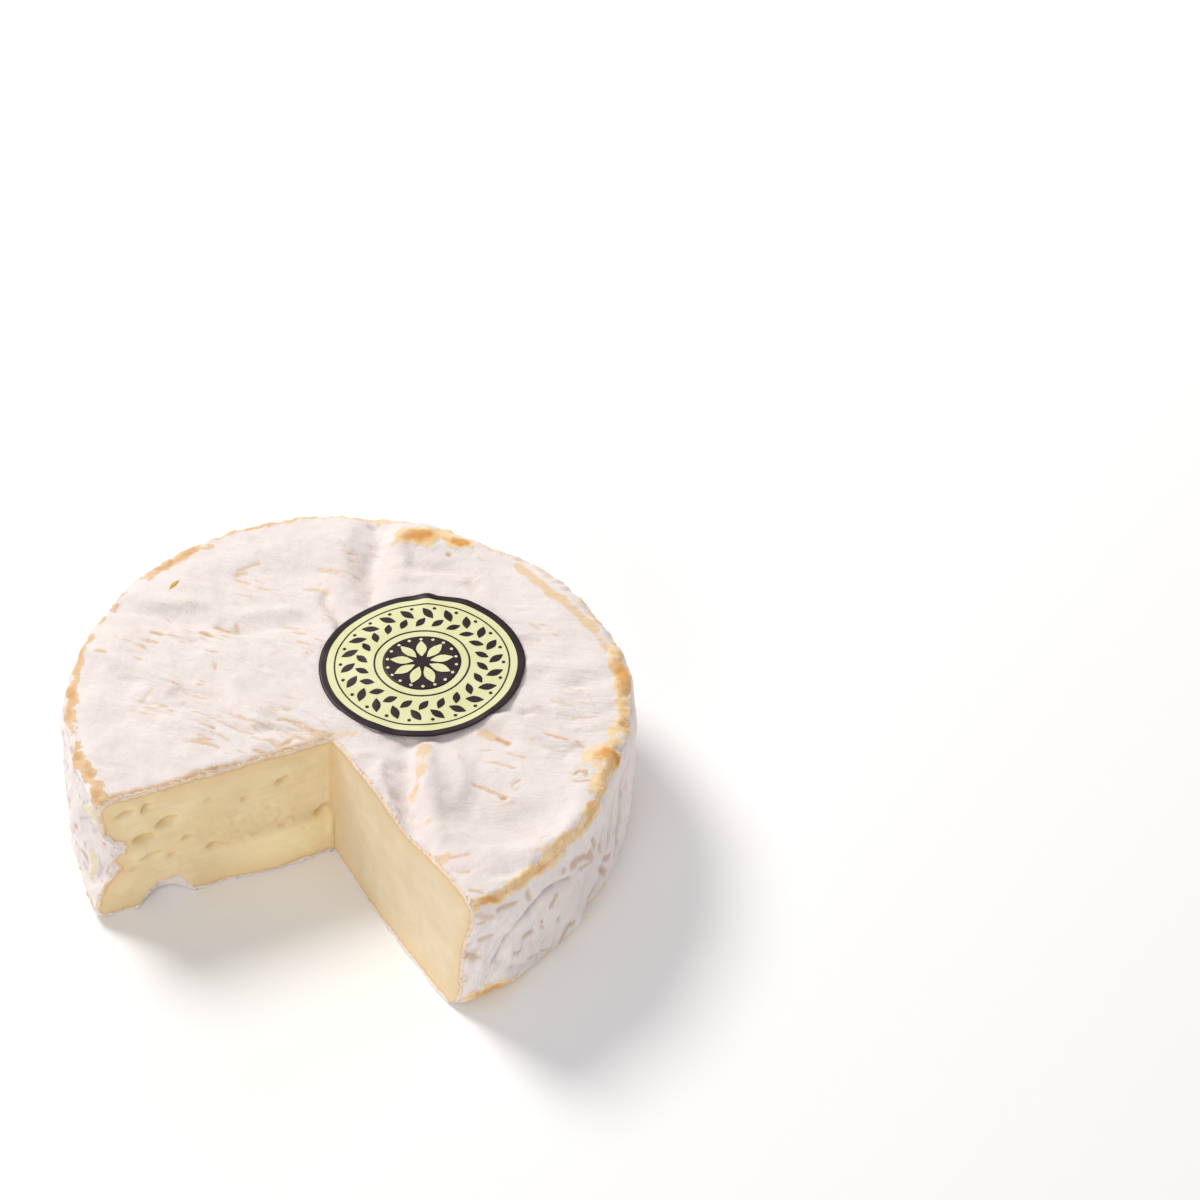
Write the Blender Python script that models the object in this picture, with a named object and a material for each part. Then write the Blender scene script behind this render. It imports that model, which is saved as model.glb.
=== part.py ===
"""A round of soft cheese with a bloomy white rind, a wedge cut out of it, and the paper label on its top.

Metres, +Z up. The origin is on the surface that the cheese rests on, under the middle of its outline,
and the open wedge faces -Y. Two solids are made: the cheese, rind and paste in one piece, and the label.
"""

import math

import bmesh
import bpy
from mathutils import Vector, noise

MM = 0.001

# Driving dimensions of the wheel, before the wedge comes out
WHEEL_HEIGHT = 29.5 * MM
RIM_RADIUS = 55.6 * MM
FOOT_RADIUS = 54.0 * MM
SHOULDER_RADIUS = 3.2 * MM
FOOT_ROUNDING = 2.6 * MM
SIDE_BULGE = 0.9 * MM

# The outline isn't a true circle. A lobe is (lobes round the wheel, size, direction of the first in degrees)
RIM_LOBES = ((1, 1.5 * MM, 105.0), (2, 2.3 * MM, 109.0), (3, 1.2 * MM, 16.0))
FOOT_LOBES = ((1, 1.7 * MM, 160.0), (3, 0.5 * MM, 21.0))

# How finely the wheel is drawn
SEGMENTS = 160
RING_STEP = 2.4 * MM
UNDERSIDE_STEP = 6.0 * MM
SIDE_LEVELS = 9
CORNER_STEPS = 3

# Soft folds of the top rind: (x, y, direction in degrees, half length, half width, height), in millimetres
TOP_FOLDS = (
    (4.0, 38.0, 80.0, 13.0, 3.4, -1.5),  # valley from the back rim to the label
    (-30.0, 37.0, -12.0, 17.0, 4.0, 0.7),  # back left, three ridges with valleys between them
    (-27.0, 30.0, -15.0, 15.0, 2.8, -1.0),
    (-28.0, 22.5, -15.0, 15.0, 4.0, 0.7),
    (-35.0, 11.0, -28.0, 14.0, 2.8, -1.1),
    (-38.0, 3.5, -25.0, 13.0, 3.6, 0.6),
    (-18.0, -3.0, -20.0, 12.0, 2.4, -0.8),
    (9.0, -27.0, 95.0, 15.0, 2.6, -1.7),  # groove along the right-hand cut, with a ridge beside it
    (13.6, -23.0, 92.0, 13.0, 3.0, 1.2),
    (24.5, -34.0, -30.0, 12.0, 8.0, -1.9),  # dish in the front quarter
    (34.0, -14.0, -10.0, 9.0, 4.0, 0.8),
    (14.0, 13.0, 0.0, 15.0, 13.0, 0.8),  # swelling under the label, and the dip past its lower edge
    (14.0, -9.5, -8.0, 10.0, 2.6, -1.3),
    (17.0, 47.5, -15.0, 6.0, 2.8, 1.5),  # crusted lumps on the rim, at the back and at the right
    (47.5, -19.5, 20.0, 4.5, 3.2, 1.6),
    (-6.0, 54.0, 8.0, 38.0, 9.0, 0.8),  # the rim stands highest at the back
)

# Dents and bulges of the side wall: (angle in degrees, height, half width, half height, size), in mm
SIDE_FOLDS = (
    (-157.0, 15.0, 8.0, 7.5, -2.8),
    (-71.0, 28.0, 9.0, 7.0, 1.4),
    (-68.0, 3.0, 6.0, 5.0, 1.5),
    (-155.0, 2.0, 5.0, 4.0, 1.1),
    (80.0, 28.0, 50.0, 5.0, 0.6),
    (-22.0, 19.0, 10.0, 8.0, -1.9),
    (25.0, 12.0, 12.0, 6.0, 1.0),
    (62.0, 18.0, 9.0, 7.0, -1.3),
    (100.0, 9.0, 12.0, 5.0, 0.9),
    (142.0, 17.0, 10.0, 7.0, -1.2),
)
# The rind's one slack lobe, low on the front side. Its upper edge shows as a crescent-shaped fold
LOBE_ANGLE = -52.0
LOBE_LEVEL = 4.5 * MM
LOBE_RADIUS = 12.5 * MM
LOBE_RISE = 0.9 * MM
LOBE_EDGE = 1.6 * MM

# The wedge: its inner edge leans a little, and its two faces run out from it
APEX_TOP = Vector((-3.8, -6.8)) * MM
APEX_FOOT = Vector((-5.4, -7.7)) * MM
LEFT_CUT_ANGLE = 198.1
RIGHT_CUT_ANGLE = -63.8
CUT_STEP = 2.5 * MM
CUT_REACH = 75.0 * MM
CUT_OVERSHOOT = 6.0 * MM
SMEAR_LEVEL = 11.0 * MM
SMEAR_RISE = 0.7 * MM
SMEAR_EDGE = 1.5 * MM
SMEAR_REACH = 18.0 * MM
FOOT_SPREAD = 1.4 * MM
FOOT_SPREAD_HEIGHT = 2.5 * MM
FOOT_SPREAD_REACH = 20.0 * MM

# Eyes in the left-hand cut: (distance from the inner edge, height, half width, half height, tilt in degrees).
# The lengths are in millimetres
EYES = (
    (33.0, 20.1, 2.1, 1.2, -14.0),
    (37.6, 17.7, 2.1, 1.1, 4.0),
    (29.3, 14.7, 1.1, 0.7, 0.0),
    (36.3, 12.9, 2.1, 0.7, -12.0),
    (23.7, 10.4, 1.8, 0.9, 6.0),
    (32.3, 11.4, 1.0, 0.7, 0.0),
    (10.0, 21.7, 1.3, 0.8, -25.0),
    (40.9, 25.8, 1.9, 0.8, -5.0),
    (36.9, 25.9, 1.1, 0.9, -30.0),
    (2.1, 10.9, 1.6, 0.6, -15.0),
    (17.6, 20.1, 0.9, 0.6, 0.0),
    (24.8, 22.7, 0.9, 0.6, 0.0),
)
EYE_DEPTH = 1.3 * MM

# Torn bite out of the rind under the left-hand cut: place along the cut, half width, height and depth
TEAR_PLACE = 33.6 * MM
TEAR_SIZE = Vector((4.4, 3.6, 5.4)) * MM

LABEL_CENTRE = Vector((14.3, 11.0)) * MM
LABEL_RADIUS = 20.0 * MM
LABEL_GAP = 0.35 * MM
LABEL_THICKNESS = 0.4 * MM
LABEL_BRIDGE = 4.5 * MM  # the paper spans hollows narrower than this
LABEL_SEGMENTS = 48
LABEL_RINGS = 5


def smooth_step(value):
    value = min(max(value, 0.0), 1.0)
    return value * value * (3.0 - 2.0 * value)


def lobed(radius, lobes, angle):
    return radius + sum(size * math.cos(n * (angle - math.radians(first))) for n, size, first in lobes)


def rim_radius(angle):
    return lobed(RIM_RADIUS, RIM_LOBES, angle)


def foot_radius(angle):
    return lobed(FOOT_RADIUS, FOOT_LOBES, angle)


def top_height(x, y):
    """Height of the top rind: a shallow dish with a raised rim, the named folds and a little unevenness."""
    reach = math.hypot(x, y) / RIM_RADIUS
    height = WHEEL_HEIGHT - 0.5 * MM + 0.7 * MM * math.exp(-(((reach - 0.9) / 0.08) ** 2))
    for fold_x, fold_y, turn, half_length, half_width, rise in TOP_FOLDS:
        turn = math.radians(turn)
        dx, dy = x - fold_x * MM, y - fold_y * MM
        along = (dx * math.cos(turn) + dy * math.sin(turn)) / (half_length * MM)
        across = (dy * math.cos(turn) - dx * math.sin(turn)) / (half_width * MM)
        height += rise * MM * math.exp(-along * along - across * across)
    return height + 0.5 * MM * noise.fractal(Vector((x * 60.0, y * 90.0, 3.1)), 1.0, 2.0, 3)


def side_relief(angle, level):
    """How far the side wall stands out of, or is sunk into, its plain taper."""
    relief = SIDE_BULGE * math.sin(math.pi * min(max(level / WHEEL_HEIGHT, 0.0), 1.0))
    for fold_angle, fold_level, half_width, half_height, rise in SIDE_FOLDS:
        turn = math.remainder(angle - math.radians(fold_angle), math.tau)
        along = turn * RIM_RADIUS / (half_width * MM)
        up = (level - fold_level * MM) / (half_height * MM)
        relief += rise * MM * math.exp(-along * along - up * up)
    turn = math.remainder(angle - math.radians(LOBE_ANGLE), math.tau)
    from_lobe = math.hypot(turn * RIM_RADIUS, level - LOBE_LEVEL)
    relief += LOBE_RISE * smooth_step((LOBE_RADIUS - from_lobe) / LOBE_EDGE)
    around = Vector((math.cos(angle), math.sin(angle), level / RIM_RADIUS))
    return relief + 0.7 * MM * noise.fractal(around * 4.5, 1.0, 2.0, 3)


def top_point(angle, share):
    """A point of the top, share of the way from the centre to where the shoulder starts."""
    radius = share * (rim_radius(angle) - SHOULDER_RADIUS)
    x, y = radius * math.cos(angle), radius * math.sin(angle)
    return Vector((x, y, top_height(x, y)))


def wall_point(angle, level, inset):
    """A point of the side wall at that height, moved in from it by the rounding's inset."""
    share = level / WHEEL_HEIGHT
    radius = foot_radius(angle) * (1.0 - share) + rim_radius(angle) * share
    radius += side_relief(angle, level) - inset
    return Vector((radius * math.cos(angle), radius * math.sin(angle), level))


def shoulder_point(angle, turn):
    """A point of the rounding between top and side, where the top's edge turns down into the wall."""
    start = top_point(angle, 1.0)
    end = wall_point(angle, WHEEL_HEIGHT - SHOULDER_RADIUS, 0.0)
    out, down = math.sin(turn), 1.0 - math.cos(turn)
    radius = math.hypot(start.x, start.y) * (1.0 - out) + math.hypot(end.x, end.y) * out
    level = start.z * (1.0 - down) + end.z * down
    return Vector((radius * math.cos(angle), radius * math.sin(angle), level))


def foot_point(angle, turn):
    """A point of the rounding between side and underside."""
    level = FOOT_ROUNDING * (1.0 - math.sin(turn))
    return wall_point(angle, level, FOOT_ROUNDING * (1.0 - math.cos(turn)))


def underside_point(angle, share):
    edge = foot_point(angle, math.pi / 2.0)
    return Vector((edge.x * share, edge.y * share, 0.0))


def ring(bm, segments, place):
    return [bm.verts.new(place(math.tau * i / segments)) for i in range(segments)]


def stitch(bm, first, second):
    """Joins two rings with faces. One may have half as many points as the other."""
    if len(first) == len(second):
        for i in range(len(first)):
            j = (i + 1) % len(first)
            bm.faces.new((first[i], first[j], second[j], second[i]))
        return
    fine, coarse = (first, second) if len(first) > len(second) else (second, first)
    for i in range(len(coarse)):
        a, b = coarse[i], coarse[(i + 1) % len(coarse)]
        c, d, e = fine[2 * i], fine[2 * i + 1], fine[(2 * i + 2) % len(fine)]
        for corners in ((a, c, d), (a, d, b), (b, d, e)):
            bm.faces.new(corners if fine is first else corners[::-1])


def shrinking_rings(bm, outer_radius, step, place):
    """Rings from the edge of a disc to its centre, with half the points wherever the circle is half as long."""
    count = round(outer_radius / step)
    rings = []
    segments = SEGMENTS
    for i in range(count):
        share = 1.0 - i / count
        if share < 0.5 * segments / SEGMENTS and segments > 10:
            segments //= 2
        rings.append(ring(bm, segments, lambda angle, s=share: place(angle, s)))
    return rings


def close_disc(bm, last_ring, centre):
    middle = bm.verts.new(centre)
    for i in range(len(last_ring)):
        bm.faces.new((last_ring[i], last_ring[(i + 1) % len(last_ring)], middle))


def new_object(name, bm, material):
    mesh = bpy.data.meshes.new(name)
    bm.to_mesh(mesh)
    bm.free()
    thing = bpy.data.objects.new(name, mesh)
    bpy.context.scene.collection.objects.link(thing)
    if material:
        mesh.materials.append(material)
    return thing


def new_material(name, colour, roughness):
    material = bpy.data.materials.new(name)
    material.use_nodes = True
    shader = material.node_tree.nodes["Principled BSDF"]
    shader.inputs["Base Color"].default_value = (*colour, 1.0)
    shader.inputs["Roughness"].default_value = roughness
    shader.inputs["Metallic"].default_value = 0.0
    return material


def make_wheel():
    """The whole wheel: top, shoulder, side, foot and underside as one closed mesh."""
    bm = bmesh.new()
    flat_radius = RIM_RADIUS - SHOULDER_RADIUS
    top = shrinking_rings(bm, flat_radius, RING_STEP, top_point)
    turns = [math.pi / 2.0 * i / (CORNER_STEPS + 1) for i in range(1, CORNER_STEPS + 1)]
    shoulder = [ring(bm, SEGMENTS, lambda angle, t=turn: shoulder_point(angle, t)) for turn in turns]
    high, low = WHEEL_HEIGHT - SHOULDER_RADIUS, FOOT_ROUNDING
    levels = [high + (low - high) * i / SIDE_LEVELS for i in range(SIDE_LEVELS + 1)]
    side = [ring(bm, SEGMENTS, lambda angle, z=level: wall_point(angle, z, 0.0)) for level in levels]
    foot = [ring(bm, SEGMENTS, lambda angle, t=turn: foot_point(angle, t)) for turn in turns]
    under = shrinking_rings(bm, flat_radius, UNDERSIDE_STEP, underside_point)
    rings = [*reversed(top), *shoulder, *side, *foot, *under]
    for first, second in zip(rings, rings[1:]):
        stitch(bm, first, second)
    close_disc(bm, top[-1], Vector((0.0, 0.0, top_height(0.0, 0.0))))
    close_disc(bm, under[-1], Vector((0.0, 0.0, 0.0)))
    bmesh.ops.recalc_face_normals(bm, faces=bm.faces)
    return new_object("cheese", bm, new_material("bloomy rind", (0.84, 0.76, 0.69), 0.8))


def apex(level):
    return APEX_FOOT.lerp(APEX_TOP, level / WHEEL_HEIGHT)


def left_swell(reach, level):
    """How far the left-hand cut stands out: soft paste sags, and its lower third was smeared by the knife."""
    sag = 0.5 * MM * math.sin(math.pi * min(max(level / WHEEL_HEIGHT, 0.0), 1.0))
    smear = SMEAR_RISE * smooth_step((SMEAR_LEVEL - level) / SMEAR_EDGE) * smooth_step(1.6 - reach / SMEAR_REACH)
    drag = 0.3 * MM * noise.noise(Vector((reach * 110.0, level * 330.0, 1.7)))
    return sag + smear + drag


def right_swell(reach, level):
    """The right-hand cut is smoother, with shallow upright ripples from the knife, and its foot spreads."""
    sag = 0.4 * MM * math.sin(math.pi * min(max(level / WHEEL_HEIGHT, 0.0), 1.0))
    spread = FOOT_SPREAD * math.exp(-max(level, 0.0) / FOOT_SPREAD_HEIGHT)
    spread *= smooth_step(reach / FOOT_SPREAD_REACH)
    drag = 0.2 * MM * noise.noise(Vector((reach * 170.0, level * 40.0, 8.3)))
    return sag + spread + drag


def cut_point(level, angle, reach, swell, side):
    """A point on one face of the wedge, moved into the gap by its swell, which fades at the inner edge."""
    angle = math.radians(angle)
    along = Vector((math.cos(angle), math.sin(angle)))
    into_gap = Vector((-along.y, along.x)) * side
    place = apex(level) + along * reach + into_gap * swell(reach, level) * min(reach / (4.0 * MM), 1.0)
    return Vector((*place, level))


def make_wedge():
    """The cutter that takes the wedge out: level outlines of the gap, stacked from under the foot upwards."""
    bm = bmesh.new()
    inside = round(WHEEL_HEIGHT / CUT_STEP)
    levels = [WHEEL_HEIGHT * i / inside for i in range(inside + 1)]
    levels = [-CUT_OVERSHOOT, *levels, WHEEL_HEIGHT + CUT_OVERSHOOT]
    steps = round(RIM_RADIUS / CUT_STEP) + 2
    reaches = [CUT_STEP * i for i in range(1, steps)] + [CUT_REACH]
    loops = []
    for level in levels:
        left = [cut_point(level, LEFT_CUT_ANGLE, reach, left_swell, 1.0) for reach in reaches]
        right = [cut_point(level, RIGHT_CUT_ANGLE, reach, right_swell, -1.0) for reach in reaches]
        outline = [Vector((*apex(level), level)), *left, *reversed(right)]
        loops.append([bm.verts.new(point) for point in outline])
    for first, second in zip(loops, loops[1:]):
        stitch(bm, first, second)
    bm.faces.new(loops[0])
    bm.faces.new(loops[-1])
    bmesh.ops.recalc_face_normals(bm, faces=bm.faces)
    return new_object("wedge cutter", bm, None)


def add_blob(bm, centre, along, size, ragged):
    """A rounded lump for the cutters: size is half its length in that direction, half its depth and height."""
    blob = bmesh.ops.create_icosphere(bm, subdivisions=2, radius=1.0)
    across = Vector((-along.y, along.x, 0.0)).normalized()
    for vert in blob["verts"]:
        unit = vert.co.copy()
        scale = 1.0 + ragged * noise.noise(unit * 2.3 + centre * 900.0)
        local = along * unit.x * size.x + across * unit.y * size.y
        vert.co = centre + (local + along.cross(across) * unit.z * size.z) * scale


def make_eyes():
    """Cutter for the small eyes that the knife opened in the left-hand cut."""
    bm = bmesh.new()
    turn = math.radians(LEFT_CUT_ANGLE)
    outward = Vector((math.cos(turn), math.sin(turn), 0.0))
    for reach, level, half_width, half_height, tilt in EYES:
        centre = cut_point(level * MM, LEFT_CUT_ANGLE, reach * MM, left_swell, 1.0)
        tilt = math.radians(tilt)
        along = outward * math.cos(tilt) + Vector((0.0, 0.0, math.sin(tilt)))
        add_blob(bm, centre, along, Vector((half_width * MM, EYE_DEPTH, half_height * MM)), 0.25)
    return new_object("eye cutter", bm, None)


def make_tear():
    """Cutter for the ragged bite out of the rind under the left-hand cut."""
    bm = bmesh.new()
    turn = math.radians(LEFT_CUT_ANGLE)
    outward = Vector((math.cos(turn), math.sin(turn), 0.0))
    add_blob(bm, cut_point(0.0, LEFT_CUT_ANGLE, TEAR_PLACE, left_swell, 1.0), outward, TEAR_SIZE, 0.5)
    return new_object("tear cutter", bm, None)


def cut_away(thing, cutter):
    """Takes the cutter out of the thing, and keeps the cutter as a hidden guide."""
    cutter.hide_render = True
    cutter.display_type = "WIRE"
    boolean = thing.modifiers.new(cutter.name, "BOOLEAN")
    boolean.operation = "DIFFERENCE"
    boolean.solver = "EXACT"
    boolean.object = cutter


def paper_height(x, y):
    """Underside of the label: it lies on the rind and spans the narrow hollows in it."""
    here = top_height(x, y)
    turns = [math.tau * i / 8 for i in range(8)]
    around = [top_height(x + LABEL_BRIDGE * math.cos(t), y + LABEL_BRIDGE * math.sin(t)) for t in turns]
    return max(here, sum(around) / len(around)) + LABEL_GAP


def make_label():
    """The round paper label, a thin sheet that follows the top."""
    bm = bmesh.new()

    def face_rings(lift):
        rings = []
        for i in range(LABEL_RINGS, 0, -1):
            radius = LABEL_RADIUS * i / LABEL_RINGS

            def place(angle, r=radius):
                x, y = LABEL_CENTRE.x + r * math.cos(angle), LABEL_CENTRE.y + r * math.sin(angle)
                return Vector((x, y, paper_height(x, y) + lift))

            rings.append(ring(bm, LABEL_SEGMENTS, place))
        for first, second in zip(rings, rings[1:]):
            stitch(bm, first, second)
        centre = Vector((*LABEL_CENTRE, paper_height(*LABEL_CENTRE) + lift))
        close_disc(bm, rings[-1], centre)
        return rings[0]

    stitch(bm, face_rings(LABEL_THICKNESS), face_rings(0.0))
    bmesh.ops.recalc_face_normals(bm, faces=bm.faces)
    return new_object("label", bm, new_material("printed paper", (0.69, 0.72, 0.44), 0.45))


def centre_over_origin(cheese, others):
    """Moves everything so that the middle of the cheese's outline is over the origin."""
    bpy.context.view_layer.update()
    evaluated = cheese.evaluated_get(bpy.context.evaluated_depsgraph_get())
    xs = [corner[0] for corner in evaluated.bound_box]
    ys = [corner[1] for corner in evaluated.bound_box]
    shift = Vector((-(min(xs) + max(xs)) / 2.0, -(min(ys) + max(ys)) / 2.0, 0.0))
    for thing in (cheese, *others):
        thing.location = shift
    print(f"moved by {shift.x / MM:.3f}, {shift.y / MM:.3f} mm")


def main():
    for thing in list(bpy.data.objects):
        bpy.data.objects.remove(thing)
    cheese = make_wheel()
    cutters = [make_wedge(), make_eyes(), make_tear()]
    for cutter in cutters:
        cut_away(cheese, cutter)
    label = make_label()
    for thing in (cheese, label):
        thing.data.shade_smooth()
        thing.data.set_sharp_from_angle(angle=math.radians(40.0))
    centre_over_origin(cheese, [label, *cutters])


main()
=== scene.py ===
# %% [markdown]
# A cut wheel of soft cheese, dressed for its picture
#
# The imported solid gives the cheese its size, its folds and its cut. This script gives it a skin: the
# white mould, the orange crust on the rim, the soft paste of the cut, and the paper label with its print.
# Everything is measured in millimetres here, and turned to metres when it goes into a mesh.

# %% Load the frame
import math

import bmesh
import bpy
import numpy as np
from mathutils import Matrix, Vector, kdtree, noise
from mathutils.bvhtree import BVHTree


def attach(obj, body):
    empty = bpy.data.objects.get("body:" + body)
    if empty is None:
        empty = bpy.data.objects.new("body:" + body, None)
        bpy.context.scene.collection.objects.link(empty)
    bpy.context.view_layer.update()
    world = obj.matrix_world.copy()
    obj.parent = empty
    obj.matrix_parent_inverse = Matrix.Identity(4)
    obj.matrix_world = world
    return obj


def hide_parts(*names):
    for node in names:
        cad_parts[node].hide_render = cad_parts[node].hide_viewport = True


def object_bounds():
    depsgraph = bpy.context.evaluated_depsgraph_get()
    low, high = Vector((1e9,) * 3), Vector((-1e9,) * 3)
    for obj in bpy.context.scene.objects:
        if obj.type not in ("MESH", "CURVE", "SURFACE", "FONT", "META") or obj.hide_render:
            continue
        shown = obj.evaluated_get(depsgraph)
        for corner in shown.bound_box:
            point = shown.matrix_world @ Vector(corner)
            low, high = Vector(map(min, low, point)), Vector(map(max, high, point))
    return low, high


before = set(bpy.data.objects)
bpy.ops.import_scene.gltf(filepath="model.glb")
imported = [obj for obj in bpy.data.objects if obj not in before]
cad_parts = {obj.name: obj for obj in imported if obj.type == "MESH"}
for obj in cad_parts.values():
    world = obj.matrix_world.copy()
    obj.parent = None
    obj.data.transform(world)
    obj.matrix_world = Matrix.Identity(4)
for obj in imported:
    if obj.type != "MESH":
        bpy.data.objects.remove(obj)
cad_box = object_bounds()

MM = 0.001
print("frame box in mm:", [[round(value / MM, 1) for value in corner] for corner in cad_box])

# %% [markdown]
# Where things are on the cheese
#
# A wheel of cheese has its own centre, which isn't the middle of the outline once a wedge is gone. Marks
# on the rind are easiest to place from that centre, as a cheesemonger would point at them. The knife went
# down twice, so each cut is a plane that leans a little: it has an inner edge and a direction.

# %% Name the wheel and its two cuts
WHEEL_CENTRE = np.array((0.47, -2.18))
WHEEL_HEIGHT = 29.5
APEX_TOP = np.array((-3.8, -6.8))
APEX_FOOT = np.array((-5.4, -7.7))
LEFT_CUT_ANGLE = 198.1
RIGHT_CUT_ANGLE = -63.8


def direction(degrees):
    return np.array((math.cos(math.radians(degrees)), math.sin(math.radians(degrees))))


def cut_coordinates(points, degrees, side):
    """How far each point is along a cut from its inner edge, and how far it stands out into the gap."""
    share = np.clip(points[:, 2] / WHEEL_HEIGHT, 0.0, 1.0)[:, None]
    apex = APEX_FOOT * (1.0 - share) + APEX_TOP * share
    along = direction(degrees)
    into_gap = np.array((-along[1], along[0])) * side
    from_apex = points[:, :2] - WHEEL_CENTRE - apex
    return from_apex @ along, from_apex @ into_gap


def into_gap_of(degrees, side):
    along = direction(degrees)
    return np.array((-along[1] * side, along[0] * side, 0.0))


def smooth_step(low, high, value):
    share = np.clip((value - low) / (high - low), 0.0, 1.0)
    return share * share * (3.0 - 2.0 * share)


def waves(points, lengths, seed, octaves=3):
    """Smooth noise from about -1 to 1, whose waves are that many millimetres long in each direction."""
    scaled = points / np.array(lengths) + seed * 17.31
    return np.array([noise.fractal(place, 1.0, 2.0, octaves) for place in scaled.tolist()])


for side, degrees in (("left", LEFT_CUT_ANGLE), ("right", RIGHT_CUT_ANGLE)):
    print(side, "cut runs along", direction(degrees).round(2))

# %% [markdown]
# A fine skin over the solid
#
# The solid's faces are about 2 mm wide, far too coarse for wrinkled mould. A Remesh modifier in voxel
# mode covers the same form with an even grid of small squares, which every later step can push about.
# Subdividing the solid would keep its long thin triangles, and they would show as scratches.

# %% Cover the solid with an even grid
GRID = 0.5


def plain_mesh(thing, name):
    """The mesh of an object with its modifiers worked out, as a new object that has none."""
    evaluated = thing.evaluated_get(bpy.context.evaluated_depsgraph_get())
    mesh = bpy.data.meshes.new_from_object(evaluated)
    bpy.data.objects.remove(thing)
    mesh.name = name
    made = bpy.data.objects.new(name, mesh)
    bpy.context.scene.collection.objects.link(made)
    return made


def new_piece(name, bm):
    """An object of the scene, made from the faces of a BMesh."""
    mesh = bpy.data.meshes.new(name)
    bm.to_mesh(mesh)
    bm.free()
    made = bpy.data.objects.new(name, mesh)
    bpy.context.scene.collection.objects.link(made)
    return made


bm = bmesh.new()
bm.from_mesh(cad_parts["cheese"].data)
bmesh.ops.remove_doubles(bm, verts=bm.verts, dist=1e-6)
rough = new_piece("rough_cheese", bm)
solid_tree = BVHTree.FromObject(rough, bpy.context.evaluated_depsgraph_get())
remesh = rough.modifiers.new("even grid", "REMESH")
remesh.mode = "VOXEL"
remesh.voxel_size = GRID * MM
cheese = plain_mesh(rough, "cut_cheese")
print("grid faces:", len(cheese.data.polygons))

# %% Read the grid into arrays
mesh = cheese.data
points = np.empty(len(mesh.vertices) * 3)
mesh.vertices.foreach_get("co", points)
points = points.reshape(-1, 3) / MM
quads = np.array([list(face.vertices) for face in mesh.polygons if len(face.vertices) == 4])
edges = np.empty(len(mesh.edges) * 2, int)
mesh.edges.foreach_get("vertices", edges)
edges = edges.reshape(-1, 2)
diagonals = np.concatenate((quads[:, (0, 2)], quads[:, (1, 3)]))


def normals_of(points):
    """Writes the points back into the mesh, and gives the way that its surface faces at each of them."""
    mesh.vertices.foreach_set("co", (points * MM).ravel())
    mesh.update()
    found = np.empty(len(points) * 3)
    mesh.vertex_normals.foreach_get("vector", found)
    return found.reshape(-1, 3)


normals = normals_of(points)
print("points:", len(points), "height:", round(float(points[:, 2].max()), 2), "mm")

# %% [markdown]
# Tell rind from paste
#
# A knife leaves two flat faces with a crisp edge against the rind. The grid doesn't know about them, so
# each point is sorted by where it lies: near a cut's plane and facing the gap, or else under the rind.
# The depth under the rind is measured with rays from above and from outside, which meet the rind first.

# %% Sort the points and measure their depth
RIND, LEFT_CUT, RIGHT_CUT = 0, 1, 2
TEAR_ALONG = 33.6
TEAR_REACH = np.array((4.9, 4.3, 5.9))
RAY_START = 60.0  # a height above everything, from which rays look down
SIDE_RAY_START = 90.0  # a distance from the wheel's centre, from which rays look in

left_s, left_out = cut_coordinates(points, LEFT_CUT_ANGLE, 1.0)
right_s, right_out = cut_coordinates(points, RIGHT_CUT_ANGLE, -1.0)
left_normal = into_gap_of(LEFT_CUT_ANGLE, 1.0)
right_normal = into_gap_of(RIGHT_CUT_ANGLE, -1.0)


def hit_distance(start, towards):
    """How far a ray goes before it meets the solid, in millimetres."""
    found = solid_tree.ray_cast(Vector(start) * MM, Vector(towards))
    return found[3] / MM if found[0] is not None else 0.0


def depth_under_rind(point, into_cheese):
    """The distance to the nearest of the top, the side and the underside, for a point on a cut."""
    inside = point + into_cheese * 1.5
    from_top = RAY_START - hit_distance((inside[0], inside[1], RAY_START), (0.0, 0.0, -1.0)) - point[2]
    outward = inside[:2] - WHEEL_CENTRE
    radius = np.linalg.norm(outward)
    outward = outward / radius
    start = WHEEL_CENTRE + outward * SIDE_RAY_START
    inwards = (-outward[0], -outward[1], 0.0)
    from_side = SIDE_RAY_START - hit_distance((start[0], start[1], point[2]), inwards) - radius
    return min(from_top, from_side, point[2])


kind = np.zeros(len(points), int)
depth = np.zeros(len(points))
for cut, s, out, normal in (
    (LEFT_CUT, left_s, left_out, left_normal),
    (RIGHT_CUT, right_s, right_out, right_normal),
):
    near = np.nonzero((np.abs(out) < 3.2) & (s > -1.5) & (kind == RIND))[0]
    for i in near:
        under = depth_under_rind(points[i], -normal)
        if normals[i] @ normal > 0.45 or (under > 1.2 and out[i] < 1.0):
            kind[i] = cut
            depth[i] = max(under, 0.0)
tear_s = (left_s - TEAR_ALONG) / TEAR_REACH[0]
in_tear = tear_s**2 + (left_out / TEAR_REACH[1]) ** 2 + (points[:, 2] / TEAR_REACH[2]) ** 2 < 1.0
kind[in_tear] = RIND
depth[in_tear] = 0.0
on_base = (points[:, 2] < 0.3) & (normals[:, 2] < -0.8)
print("on the cuts:", int((kind > RIND).sum()), "points, deepest", round(float(depth.max()), 1), "mm")

# %% Smooth the facets away, but keep the knife's edges
SMOOTHING_ROUNDS = 14


def crease_points(kind):
    """Points that touch a point of a lower kind: they are the edges that the knife left."""
    crease = np.zeros(len(kind), bool)
    for pairs in (edges, diagonals):
        for a, b in (pairs.T, pairs.T[::-1]):
            crease[a[kind[a] > kind[b]]] = True
    return crease


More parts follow.
